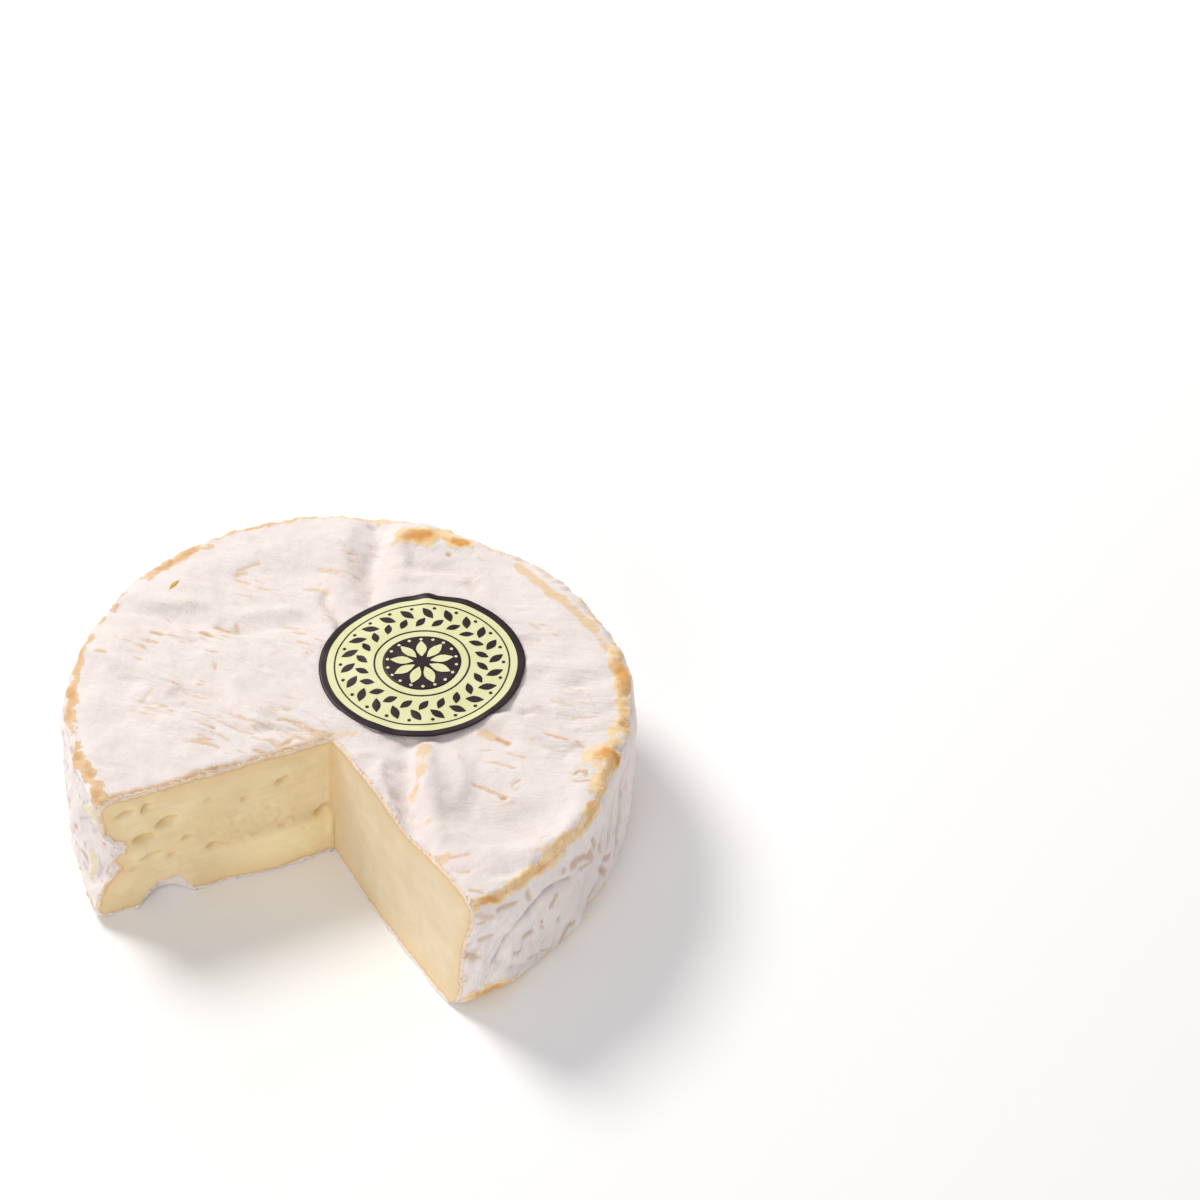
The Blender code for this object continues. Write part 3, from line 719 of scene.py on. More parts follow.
slant = LEFT_WRINKLES + (RIGHT_WRINKLES - LEFT_WRINKLES) * smooth_step(-5.0, 25.0, x)
turn_in_front = (FRONT_WRINKLES - slant) * smooth_step(-24.0, -38.0, y) * smooth_step(5.0, 15.0, x)
slant = np.radians(slant + turn_in_front)
top_along = x * np.cos(slant) + y * np.sin(slant)
top_across = y * np.cos(slant) - x * np.sin(slant)
smear = math.radians(SIDE_SMEARS)
side_along = arc * math.cos(smear) + z * math.sin(smear)
side_across = z * math.cos(smear) - arc * math.sin(smear)
sideways = on_side > 0.5
flow = np.stack(
    (
        np.where(sideways, side_along, top_along),
        np.where(sideways, side_across, top_across),
        np.where(sideways, 40.0, 0.0) + z * 0.2,
    ),
    axis=1,
)
warped = flow + np.stack((nudge_x, nudge_y * 1.4, np.zeros(len(points))), axis=1)
print("points with the grain of the side:", int(sideways.sum()))

# %% Wrinkle the rind
# Heights and depths of each kind of relief, in millimetres
WRINKLE_HEIGHT = 0.42
RIDGE_HEIGHT = 0.16
LUMP_HEIGHT = 0.22
SLUMP_HEIGHT = 0.3
FELT_HEIGHT = 0.07
RIM_HEIGHT = 0.5
SMEAR_HEIGHT = 0.5
SHOULDER_HEIGHT = 0.75
CRUST_HEIGHT = 0.10
CRACKLE_HEIGHT = 0.28
SPOT_DEPTH = 0.3
SMEARED_PASTE_HEIGHT = 0.35
THREAD_DEPTH = 0.14
RUBBED_DEPTH = 0.25
BEIGE_DEPTH = 0.15
FRAY_HEIGHT = 0.5
# Where the wrinkles are strongest: (x, y, half length, half width)
STREAKY_PLACES = ((-16, -1, 14, 6), (-30, 25, 12, 5), (-40, 8, 9, 7), (42, -2, 9, 12))

wrinkles = waves(warped, (9.0, 1.6, 20.0), 7.0, 3)
ridges = 0.5 - np.abs(waves(warped, (13.0, 3.0, 20.0), 8.0, 2)) * 2.0
patchy = smooth_step(-0.35, 0.35, waves(points, (15.0, 15.0, 15.0), 9.0, 2))
streaky = sum(blob(x, y, *place) for place in STREAKY_PLACES)
streaky = np.clip(patchy * 0.6 + streaky, 0.0, 1.2)
corner_zone = blob(x, y, -19, -2, 17, 5.5) + 0.8 * blob(x, y, -9, -6, 6, 3)
threads = smooth_step(0.3, 0.5, waves(warped, (11.0, 0.9, 20.0), 18.0, 2))
threads = threads * np.clip(corner_zone, 0.0, 1.0) * on_top
calm = 1.0 - 0.95 * blob(x, y, 28, -33, 14, 10)
lumps = waves(points, (6.0, 6.0, 6.0), 10.0, 3)
crackle = 0.5 - np.abs(waves(points, (1.9, 1.9, 1.9), 11.0, 2)) * 2.0
felt = waves(points, (1.2, 1.2, 1.2), 12.0, 2)
rough_rim = np.exp(-(((from_rim - 0.5) / 2.5) ** 2))
smears = waves(warped, (9.0, 2.6, 20.0), 14.0, 3) * on_side * (0.4 + 0.6 * smooth_step(-0.2, 0.4, warp))
print("wrinkles from", wrinkles.min().round(2), "to", wrinkles.max().round(2))

# %% Push the points along their normals
shoulder = np.exp(-((turn_from(-62.0) / 22.0) ** 4)) + np.exp(-((turn_from(-162.0) / 9.0) ** 4))
relief = folds * 0.9
relief += WRINKLE_HEIGHT * wrinkles * (0.12 + 0.88 * streaky) * calm
relief += RIDGE_HEIGHT * ridges * streaky * calm
relief += LUMP_HEIGHT * lumps * (0.4 + 0.6 * calm)
relief += SLUMP_HEIGHT * waves(points, (14.0, 14.0, 14.0), 16.0, 2) * (1.0 - on_side)
relief += FELT_HEIGHT * felt
relief += rough_rim * RIM_HEIGHT * waves(points, (2.6, 2.6, 2.6), 15.0, 3)
relief += SMEAR_HEIGHT * smears
relief += SHOULDER_HEIGHT * np.exp(-(((from_rim - 0.6) / 1.8) ** 2)) * shoulder
relief += np.clip(crust, 0.0, 1.0) * (CRUST_HEIGHT + CRACKLE_HEIGHT * crackle)
relief -= SPOT_DEPTH * spots
relief += SMEARED_PASTE_HEIGHT * smeared_paste
relief -= THREAD_DEPTH * threads + RUBBED_DEPTH * rubbed
relief -= BEIGE_DEPTH * np.clip(beige, 0.0, 1.0)
relief *= np.where(on_base, 0.0, 1.0) * on_rind * smooth_step(0.0, 1.5, z)
edge_fray = np.exp(-((to_edge / 1.0) ** 2)) * on_rind * smooth_step(0.5, 2.0, z)
relief += edge_fray * FRAY_HEIGHT * waves(points, (1.8, 1.8, 1.8), 13.0, 2)
points = points + normals * relief[:, None]
print("rind relief from", relief.min().round(2), "to", relief.max().round(2), "mm")

# %% [markdown]
# Relief of the two cuts
#
# Soft paste drags on the knife. The left cut was pulled: it has level drag lines, small holes, a crumbly
# band and a torn edge where the rind was dragged over the paste. The right cut is clean, with faint lines
# along the stroke.

# %% Name the places in the cuts
# The paste ends short of the rind on the left cut's outer side: (height, distance along the cut)
TORN_EDGE = (
    (-1.0, 47.6),
    (4.3, 47.4),
    (8.3, 46.4),
    (11.0, 43.4),
    (12.2, 43.2),
    (14.5, 44.0),
    (15.8, 41.5),
    (18.9, 41.6),
    (19.9, 43.6),
    (21.8, 45.4),
    (23.4, 46.7),
    (24.6, 60.0),
)
# Eyes of the left cut: (distance along the cut, height, half width, half height, tilt in degrees, depth)
EYES = (
    (33.0, 20.1, 2.4, 1.0, -14.0, 1.3),
    (37.6, 17.7, 2.4, 0.9, 2.0, 1.4),
    (29.3, 14.7, 1.3, 0.6, 0.0, 0.8),
    (36.3, 12.9, 2.4, 0.6, -5.0, 0.8),
    (23.7, 10.4, 2.0, 0.7, 4.0, 0.9),
    (32.3, 11.4, 1.1, 0.5, 0.0, 0.7),
    (10.0, 21.7, 1.5, 0.7, -12.0, 1.2),
    (41.0, 24.9, 2.1, 0.6, -5.0, 0.9),
    (36.9, 24.8, 1.2, 0.8, -30.0, 1.0),
    (2.1, 10.9, 1.8, 0.5, -15.0, 1.1),
    (17.6, 20.1, 0.9, 0.5, 0.0, 0.5),
    (24.8, 22.7, 0.9, 0.5, 0.0, 0.5),
    (24.1, 13.5, 0.9, 0.4, 0.0, 0.5),
    (15.8, 10.7, 1.0, 0.4, 6.0, 0.6),
    (10.6, 10.6, 0.9, 0.35, 0.0, 0.6),
    (21.5, 10.2, 0.8, 0.5, 0.0, 0.7),
    (13.1, 16.0, 0.5, 0.35, 0.0, 0.4),
    (20.3, 16.5, 0.7, 0.3, 0.0, 0.4),
    (6.3, 9.0, 0.8, 0.3, 8.0, 0.5),
    (40.0, 11.0, 0.8, 0.4, -10.0, 0.4),
)
EYE_LIP = 0.18  # the lip's height, as a share of its eye's depth
print("eyes in the left cut:", len(EYES))

# %% Drag the paste and tear its edge
# Heights and depths of the left cut's relief, in millimetres
DRAG_HEIGHT = 0.10
SWELL_OF_PULLED_PASTE = 0.22
CRUMBLE_HEIGHT = 0.45
EYE_DEEPENING = 0.5  # the share of each eye's depth that comes on top of the solid's own eyes
TORN_LINE_DEPTH = 0.8
LIP_HEIGHT = 0.5
# The same for the clean right cut
CLEAN_DRAG_HEIGHT = 0.05
SWELL_OF_CLEAN_PASTE = 0.18
CLEAN_LIP_HEIGHT = 0.25


def in_eye(s, level, place, height, half_width, half_height, tilt):
    """Where each point is across an eye and up it: 0 is its middle, and 1 away from that is its rim."""
    turn = math.radians(tilt)
    across = ((s - place) * math.cos(turn) + (level - height) * math.sin(turn)) / half_width
    up = ((level - height) * math.cos(turn) - (s - place) * math.sin(turn)) / half_height
    return across, up


def eyes_at(s, level):
    """How deep the eyes are at each place of the cut, and below each the low lip that the knife left."""
    depth = np.zeros(len(s))
    for *eye, deep in EYES:
        across, up = in_eye(s, level, *eye)
        depth = np.maximum(depth, deep * np.sqrt(np.clip(1.0 - across**2 - up**2, 0.0, 1.0)))
        depth -= EYE_LIP * deep * np.exp(-(across**2) - ((up + 1.5) / 0.5) ** 2)
    return depth


def eye_shade_at(s, level):
    """One in the upper part of each eye, which lies in shade, and nearly as much where the cuts meet."""
    shade = np.zeros(len(s))
    for *eye, deep in EYES:
        across, up = in_eye(s, level, *eye)
        inside = smooth_step(-0.15, 0.4, 1.0 - across**2 - up**2)
        shade = np.maximum(shade, inside * smooth_step(-0.9, 0.5, up) * min(deep, 1.0))
    return np.maximum(shade, 0.6 * np.exp(-(((s - 0.3) / 0.5) ** 2)))


heights, ends = np.array(TORN_EDGE).T
left_flow = np.stack((left_s, z, left_out * 0.3), axis=1)
right_flow = np.stack((right_s, z, right_out * 0.3 + 60.0), axis=1)
tear_noise = waves(left_flow, (2.4, 2.4, 2.4), 20.0)
paste_end = np.interp(z, heights, ends) + 0.8 * tear_noise
beyond_paste = np.where(on_left, left_s - paste_end, -50.0)
depth = np.where(on_left, np.minimum(depth, np.maximum(paste_end - left_s + 0.4, 0.0)), depth)

crumbly = np.exp(-(((z - 14.0) / 3.5) ** 2)) * np.exp(-(((left_s - 17.0) / 9.0) ** 2))
left_relief = DRAG_HEIGHT * waves(left_flow, (14.0, 1.1, 9.0), 21.0, 3) * (1.0 + crumbly)
left_relief += SWELL_OF_PULLED_PASTE * waves(left_flow, (7.0, 4.0, 9.0), 22.0, 2)
left_relief += CRUMBLE_HEIGHT * crumbly * waves(left_flow, (1.6, 0.9, 2.0), 23.0, 2)
left_relief -= EYE_DEEPENING * eyes_at(left_s, z)
smeared = smooth_step(11.0, 9.0, z) * smooth_step(26.0, 10.0, left_s)
left_relief += smeared * (0.6 + 0.4 * waves(left_flow, (8.0, 1.8, 9.0), 24.0, 3))
torn_line = np.exp(-(((z - 11.4 - tear_noise * 0.8) / 0.55) ** 2)) * smooth_step(23.0, 8.0, left_s)
left_relief -= TORN_LINE_DEPTH * torn_line
flap = smooth_step(0.0, 1.0, beyond_paste)
left_relief += flap * (0.6 + 0.6 * waves(left_flow, (2.6, 3.4, 3.0), 25.0, 3))
right_relief = CLEAN_DRAG_HEIGHT * waves(right_flow, (22.0, 0.9, 9.0), 26.0, 3)
right_relief += SWELL_OF_CLEAN_PASTE * waves(right_flow, (12.0, 6.0, 9.0), 27.0, 2)
rind_lip = np.exp(-((depth / 0.8) ** 2))
lip_noise = waves(points, (1.5, 1.5, 1.5), 28.0, 2)
left_relief += rind_lip * LIP_HEIGHT * lip_noise
right_relief += rind_lip * CLEAN_LIP_HEIGHT * lip_noise
points = points + np.where(on_left, left_relief, 0.0)[:, None] * left_normal
points = points + np.where(on_right, right_relief, 0.0)[:, None] * right_normal
points[on_base, 2] = 0.0
box_low, box_high = np.array(cad_box) / MM
points = np.clip(points, box_low, box_high)
normals = normals_of(points)
print("torn rind on the left cut:", int((beyond_paste > 0).sum()), "points")

# %% [markdown]
# Hand the masks to the materials
#
# A material can read any attribute that is stored on the points. Depth under the rind draws the rind's
# cut edge, and the soft masks say where crust and bare dashes may appear. The flow coordinates turn the
# fine patterns so that they follow the wrinkles on the top, the smears on the side and the knife's stroke
# on the cuts.

# %% Store the attributes
flow = np.where(on_left[:, None], left_flow + (0.0, 0.0, 100.0), flow)
flow = np.where(on_right[:, None], right_flow, flow)
for name, values in (
    ("depth", depth),
    ("crust", crust),
    ("browned", browned),
    ("bare", bare),
    ("beige", beige),
    ("spots", spots),
    ("threads", threads),
    ("rubbed", rubbed),
    ("wrinkly", np.where(sideways, 0.4, np.clip(streaky * calm, 0.0, 1.0))),
    ("pinched", pinched),
    ("smeared_paste", smeared_paste),
    ("beyond", np.clip(beyond_paste, -5.0, 5.0)),
    ("eye_shade", eye_shade_at(left_s, z) * on_left),
    ("clean_cut", on_right * 1.0),
    ("edge_near", np.exp(-to_rind_edge)),
    ("smeared", smeared * on_left),
):
    mesh.attributes.new(name, "FLOAT", "POINT").data.foreach_set("value", values.astype(np.float32))
flow_attribute = mesh.attributes.new("flow", "FLOAT_VECTOR", "POINT")
flow_attribute.data.foreach_set("vector", flow.astype(np.float32).ravel())
print("attributes:", [attribute.name for attribute in mesh.attributes if not attribute.is_internal])

# %% [markdown]
# Helpers for materials
#
# Colours are written as they look on a screen, in hex, and one function turns them into the linear values
# that the renderer works with. One more adds a node, sets it up and links its inputs, so that a material
# reads from top to bottom like a recipe. The last two give the place on a piece in millimetres and start
# an empty material.

# %% Colours and nodes
# A Mix node has a socket of each name for every kind of value, so its colour sockets are given by number
MIX_FACTOR, MIX_A, MIX_B, MIX_RESULT = 0, 6, 7, 2


def linear(colour):
    """An sRGB hex colour as the linear values of a shader socket."""
    shares = [int(colour[i : i + 2], 16) / 255.0 for i in (0, 2, 4)]
    return (*[c / 12.92 if c <= 0.04045 else ((c + 0.055) / 1.055) ** 2.4 for c in shares], 1.0)


def add(tree, kind, inputs=None, **settings):
    """Adds a node with its settings. An input, by name or number, is a value or a socket to link."""
    node = tree.nodes.new(kind)
    for key, value in settings.items():
        setattr(node, key, value)
    for key, value in (inputs or {}).items():
        if isinstance(value, bpy.types.NodeSocket):
            tree.links.new(value, node.inputs[key])
        else:
            node.inputs[key].default_value = value
    return node


def position_in_mm(tree):
    """The place on the piece, in millimetres, so that patterns are given at their real size."""
    position = add(tree, "ShaderNodeTexCoord").outputs["Object"]
    return add(tree, "ShaderNodeVectorMath", {0: position, "Scale": 1.0 / MM}, operation="SCALE").outputs[0]


def new_material(name):
    """An empty material and its node tree."""
    material = bpy.data.materials.new(name)
    material.use_nodes = True
    material.node_tree.nodes.clear()
    return material, material.node_tree


print("plain white in linear values:", linear("FFFFFF"))

# %% [markdown]
# The mould rind
#
# Real bloomy rind is a felt of white mould, about a millimetre thick, grown on the drained curd. It
# scatters light softly, so it has a little subsurface and a faint sheen, and no gloss. Its white is warm
# and a little pink, mottled at the scale of centimetres, with tan dashes where the felt is worn and
# orange crust on the rim. Such a surface is built as a painter would build it, and in the same order:
# first the patterns, then the marks, which are patterns held in place by the stored masks, and at last
# the coats of colour, each over the one before.

# %% Start the rind with its patterns
MOTTLE_WIDTH = 11.0
CLOUD_WIDTH = 3.0
DASH_LENGTH = 4.0
DASH_WIDTH = 1.1
FELT_GRAIN = 0.4  # real threads of mould are finer, but would not show
WRINKLE_LENGTH = 6.0
WRINKLE_WIDTH = 0.9
CRUST_GRAIN = 2.0
CRUST_TONE_WIDTH = 4.0
NOISE_ROUGHNESS = 0.55

rind, tree = new_material("bloomy mould rind, cellar-ripened")
in_mm = position_in_mm(tree)
flow_mm = add(tree, "ShaderNodeAttribute", attribute_name="flow").outputs["Vector"]
masks = {}
for name in (
    "crust", "browned", "bare", "beige", "spots", "threads", "rubbed", "pinched", "smeared_paste", "wrinkly"
):
    masks[name] = add(tree, "ShaderNodeAttribute", attribute_name=name).outputs["Fac"]

# Along the wrinkles, one unit is as long as a dash or a wrinkle, and across them it is as wide
along = {}
for name, length, width in (
    ("dashes", DASH_LENGTH, DASH_WIDTH),
    ("wrinkles", WRINKLE_LENGTH, WRINKLE_WIDTH),
):
    inputs = {"Vector": flow_mm, "Scale": (1.0 / length, 1.0 / width, 1.0)}
    along[name] = add(tree, "ShaderNodeMapping", inputs).outputs[0]

# Each pattern: (name, coordinates, width of its blotches in them, detail)
pattern = {}
for name, vector, width, detail in (
    ("mottle", in_mm, MOTTLE_WIDTH, 3.0),
    ("clouds", in_mm, CLOUD_WIDTH, 4.0),
    ("dashes", along["dashes"], 1.0, 3.0),
    ("wrinkles", along["wrinkles"], 1.0, 3.0),
    ("felt", in_mm, FELT_GRAIN, 3.0),
    ("crust grain", in_mm, CRUST_GRAIN, 5.0),
    ("crust tone", in_mm, CRUST_TONE_WIDTH, 3.0),
):
    inputs = {"Vector": vector, "Scale": 1.0 / width, "Detail": detail, "Roughness": NOISE_ROUGHNESS}
    pattern[name] = add(tree, "ShaderNodeTexNoise", inputs).outputs[0]
print("patterns of the rind:", list(pattern))

# %% [markdown]
# Marks and crust of the rind
#
# A stored mask says only roughly where a mark may be. Noise is added to it, and a soft step then cuts the
# sum off: a low, wide step gives a faint stain, and a narrow one a crisp edge. Orange crust is the
# sharpest mark of all. Where the rim was handled and turned, the white mould is gone and the orange rind
# below shows, with islands and threads of white in it. One noise makes both the solid band where the mask
# is strong and the lace where it is weak.

# %% Turn patterns and masks into marks
# Each mark: (name, first value, its factor, value added to it, where the soft step starts and ends)
mark = {}
for name, value, factor, addend, low, high in (
    ("shade of white", pattern["mottle"], 1.0, pattern["clouds"], 0.75, 1.25),
    ("dashes", masks["bare"], 0.2, pattern["dashes"], 0.67, 0.86),
    ("patches", masks["beige"], 0.55, pattern["clouds"], 0.72, 0.92),
    ("rubbed", pattern["clouds"], 0.5, masks["rubbed"], 0.5, 1.0),
    ("rubbed through", pattern["clouds"], 0.5, masks["rubbed"], 0.95, 1.35),
    ("smeared paste", pattern["clouds"], 0.6, masks["smeared_paste"], 0.72, 0.84),
    ("crust place", masks["crust"], 1.0, 0.0, 0.1, 0.3),
    ("crust edge", pattern["crust grain"], 2.5, masks["crust"], 1.72, 1.88),
    ("crust tone", pattern["crust tone"], 1.2, masks["crust"], 1.26, 1.98),
):
    inputs = {0: value, 1: factor, 2: addend}
    total = add(tree, "ShaderNodeMath", inputs, operation="MULTIPLY_ADD").outputs[0]
    inputs = {"Value": total, "From Min": low, "From Max": high}
    mark[name] = add(tree, "ShaderNodeMapRange", inputs, interpolation_type="SMOOTHSTEP").outputs[0]
inputs = {0: mark["crust edge"], 1: mark["crust place"]}
crust_shown = add(tree, "ShaderNodeMath", inputs, operation="MULTIPLY").outputs[0]
print("marks of the rind:", list(mark))

# %% Lay the coats of colour on the rind
# Each coat: (name, share of the second colour, first colour, second colour)
# A colour is a hex value or the name of an earlier coat
coat = {}
for name, share, first, second in (
    ("white", mark["shade of white"], "EBE0DC", "F0E7E4"),
    ("patched", mark["patches"], "white", "EACFAD"),
    ("dashed", mark["dashes"], "patched", "E2C8AC"),
    ("threaded", masks["threads"], "dashed", "E3CDB6"),
    ("tan", mark["rubbed through"], "E2CAB0", "CFAC8A"),
    ("rubbed", mark["rubbed"], "threaded", "tan"),
    ("spotted", masks["spots"], "rubbed", "CEB09A"),
    # A0979A: painted shadow in the tight folds of the side
    ("folded", masks["pinched"], "spotted", "A0979A"),
    ("smeared", mark["smeared paste"], "folded", "E8DBBE"),
    # Paler crust: painted light on the shaded front. Darker crust: painted shade on the left, in the key
    # light. Both over the crust's own orange and browning
    ("pale crust", mark["crust tone"], "F9DDB0", "E4A65A"),
    ("browned crust", mark["crust tone"], "E4C49A", "CF985A"),
    ("crust", masks["browned"], "pale crust", "browned crust"),
    ("rind", crust_shown, "smeared", "crust"),
):
    below, above = [coat[colour] if colour in coat else linear(colour) for colour in (first, second)]
    inputs = {MIX_FACTOR: share, MIX_A: below, MIX_B: above}
    coat[name] = add(tree, "ShaderNodeMix", inputs, data_type="RGBA").outputs[MIX_RESULT]
print("coats of the rind:", list(coat))

# %% Give the rind its fine relief and its shader
RIND_BUMP_HEIGHT = 0.3

inputs = {0: pattern["dashes"], 1: 0.9, 2: pattern["felt"]}
fine_relief = add(tree, "ShaderNodeMath", inputs, operation="MULTIPLY_ADD").outputs[0]
inputs = {0: pattern["wrinkles"], 1: masks["wrinkly"]}
wrinkle_height = add(tree, "ShaderNodeMath", inputs, operation="MULTIPLY").outputs[0]
inputs = {0: wrinkle_height, 1: 4.0, 2: fine_relief}
fine_relief = add(tree, "ShaderNodeMath", inputs, operation="MULTIPLY_ADD").outputs[0]
inputs = {0: crust_shown, 1: pattern["crust grain"], 2: fine_relief}
crust_relief = add(tree, "ShaderNodeMath", inputs, operation="MULTIPLY_ADD").outputs[0]
inputs = {"Height": crust_relief, "Strength": 0.5, "Distance": RIND_BUMP_HEIGHT * MM}
rind_bump = add(tree, "ShaderNodeBump", inputs).outputs[0]
# Felt is matt, and the bare crust has a faint greasy gloss
inputs = {"Value": crust_shown, "To Min": 0.85, "To Max": 0.55}
rind_roughness = add(tree, "ShaderNodeMapRange", inputs).outputs[0]
rind_shader = add(
    tree,
    "ShaderNodeBsdfPrincipled",
    {
        "Base Color": coat["rind"],
        "Roughness": rind_roughness,
        "Normal": rind_bump,
        "Subsurface Weight": 0.15,
        "Subsurface Radius": (1.0, 0.8, 0.6),
        "Subsurface Scale": 0.8 * MM,
        "Sheen Weight": 0.08,
        "Sheen Roughness": 0.5,
        "IOR": 1.4,
        "Specular IOR Level": 0.35,
    },
)
add(tree, "ShaderNodeOutputMaterial", {"Surface": rind_shader.outputs[0]})
print("rind nodes:", len(tree.nodes))

# %% [markdown]
# The ripened paste
#
# Ripe paste is a soft, moist, pale yellow cream. Light goes a few millimetres into it, which rounds off
# every hole and edge, so the subsurface is the main thing here. It is deeper in colour just under the
# rind. The rind's own cut edge shows as a thin cream line with a tan border, drawn from the stored depth.
# The recipe has the same three parts as the rind's: patterns, marks and coats.

# %% Start the paste with its patterns
RIND_THICKNESS = 0.9
RIND_BROWNING = 0.5  # depth at which the rind's cut edge starts to turn tan
BORDER_END = 1.5
RIPE_BAND = 4.5
FOOT_HEIGHTS = (4.0, 2.0)  # the rind's cut edge turns whiter from the first to the second
DRAG_LENGTH = 12.0
DRAG_WIDTH = 0.7
PASTE_CLOUD_WIDTH = 5.0
PASTE_GRAIN = 0.6
EDGE_GRAIN = 1.3

paste, tree = new_material("ripened soft paste, knife-cut")
in_mm = position_in_mm(tree)
flow_mm = add(tree, "ShaderNodeAttribute", attribute_name="flow").outputs["Vector"]
masks = {}
for name in ("depth", "smeared", "clean_cut", "eye_shade", "beyond"):
    masks[name] = add(tree, "ShaderNodeAttribute", attribute_name=name).outputs["Fac"]
inputs = {"Vector": flow_mm, "Scale": (1.0 / DRAG_LENGTH, 1.0 / DRAG_WIDTH, 0.2)}
along_drag = add(tree, "ShaderNodeMapping", inputs).outputs[0]
pattern = {}
for name, vector, width in (
    ("drag", along_drag, 1.0),
    ("clouds", in_mm, PASTE_CLOUD_WIDTH),
    ("grain", in_mm, PASTE_GRAIN),
    ("edge", in_mm, EDGE_GRAIN),
):
    inputs = {"Vector": vector, "Scale": 1.0 / width, "Detail": 3.0, "Roughness": NOISE_ROUGHNESS}
    pattern[name] = add(tree, "ShaderNodeTexNoise", inputs).outputs[0]
print("patterns of the paste:", list(pattern))

# %% Turn them into marks
inputs = {0: pattern["edge"], 1: -1.2, 2: masks["depth"]}
uneven_depth = add(tree, "ShaderNodeMath", inputs, operation="MULTIPLY_ADD").outputs[0]
uneven_depth = add(tree, "ShaderNodeMath", {0: uneven_depth, 1: 0.6}, operation="ADD").outputs[0]
height_mm = add(tree, "ShaderNodeSeparateXYZ", {0: in_mm}).outputs["Z"]
mark = {}
for name, value, factor, addend, low, high in (
    ("tone", pattern["drag"], 0.5, pattern["clouds"], 0.5, 1.0),
    ("below the border", uneven_depth, 1.0, 0.0, RIND_THICKNESS, BORDER_END),
    ("below the rind", uneven_depth, 1.0, 0.0, RIND_BROWNING, RIND_THICKNESS),
    ("at the foot", height_mm, 1.0, 0.0, *FOOT_HEIGHTS),
    ("torn", pattern["edge"], 0.8, masks["beyond"], 0.3, 0.6),
):
    inputs = {0: value, 1: factor, 2: addend}
    total = add(tree, "ShaderNodeMath", inputs, operation="MULTIPLY_ADD").outputs[0]
    inputs = {"Value": total, "From Min": low, "From Max": high}
    mark[name] = add(tree, "ShaderNodeMapRange", inputs, interpolation_type="SMOOTHSTEP").outputs[0]
inputs = {"Value": uneven_depth, "From Min": BORDER_END, "From Max": RIPE_BAND, "To Min": 0.6, "To Max": 0.0}
mark["ripe"] = add(tree, "ShaderNodeMapRange", inputs).outputs[0]
print("marks of the paste:", list(mark))

# %% Lay the coats of colour on the paste
coat = {}
for name, share, first, second in (
    ("pulled", mark["tone"], "E8D1A4", "F0DDB4"),
    ("clean", mark["tone"], "E3CFAC", "EAD9BA"),
    ("cut", masks["clean_cut"], "pulled", "clean"),
    ("smeared", masks["smeared"], "cut", "F8E6B8"),
    ("ripened", mark["ripe"], "smeared", "E6CA9A"),
    ("bordered", mark["below the border"], "DDBD93", "ripened"),
    ("cut rind", mark["at the foot"], "EDD9C4", "F1E5DE"),
    ("under rind", mark["below the rind"], "cut rind", "bordered"),
    ("shaded", masks["eye_shade"], "under rind", "DBB77A"),
    ("paste", mark["torn"], "shaded", "EDE4E1"),
):
    below, above = [coat[colour] if colour in coat else linear(colour) for colour in (first, second)]
    inputs = {MIX_FACTOR: share, MIX_A: below, MIX_B: above}
    coat[name] = add(tree, "ShaderNodeMix", inputs, data_type="RGBA").outputs[MIX_RESULT]
print("coats of the paste:", list(coat))

# %% Give the paste its fine relief and its shader
PASTE_BUMP_HEIGHT = 0.2

inputs = {0: pattern["drag"], 1: 1.4, 2: pattern["grain"]}
paste_relief = add(tree, "ShaderNodeMath", inputs, operation="MULTIPLY_ADD").outputs[0]
inputs = {"Height": paste_relief, "Strength": 0.22, "Distance": PASTE_BUMP_HEIGHT * MM}
paste_bump = add(tree, "ShaderNodeBump", inputs).outputs[0]
# The dry edge of the rind is matt, and the moist paste has a soft gloss
inputs = {"Value": mark["below the rind"], "To Min": 0.8, "To Max": 0.5}
paste_roughness = add(tree, "ShaderNodeMapRange", inputs).outputs[0]
paste_shader = add(
    tree,
    "ShaderNodeBsdfPrincipled",
    {
        "Base Color": coat["paste"],
        "Roughness": paste_roughness,
        "Normal": paste_bump,
        "Subsurface Weight": 0.3,
        "Subsurface Radius": (1.0, 0.75, 0.4),
        "Subsurface Scale": 0.9 * MM,
        "IOR": 1.42,
        "Specular IOR Level": 0.4,
    },
)
add(tree, "ShaderNodeOutputMaterial", {"Surface": paste_shader.outputs[0]})
print("paste nodes:", len(tree.nodes))

# %% Give each face its material
mesh.materials.clear()
mesh.materials.append(rind)
mesh.materials.append(paste)
paste_point = (kind > RIND) & (beyond_paste < 1.0)
material_of_face = np.zeros(len(mesh.polygons), np.int32)
four_sided = np.array([len(face.vertices) == 4 for face in mesh.polygons])
material_of_face[four_sided] = paste_point[quads].sum(axis=1) >= 2
mesh.polygons.foreach_set("material_index", material_of_face)
print("paste faces:", int(material_of_face.sum()), "of", len(material_of_face))

# %% Join the flat underside into one face
bm = bmesh.new()
bm.from_mesh(mesh)
flat = [face for face in bm.faces if all(vert.co.z < 1e-6 for vert in face.verts)]
bmesh.ops.dissolve_faces(bm, faces=flat, use_verts=False)
bm.to_mesh(mesh)
bm.free()
mesh.shade_smooth()
mesh.calc_loop_triangles()
print("triangles of the cheese:", len(mesh.loop_triangles))

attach(cheese, "root")
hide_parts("cheese")

# %% [markdown]
# The paper label
#
# A thin round of coated paper was laid on the moist rind. It follows the swellings, spans the narrow
# hollows, and its lower edge has lifted a little. The drape is worked out like a drum skin over the rind:
# every point takes the average of its neighbours, and is pushed up wherever the rind would come through.

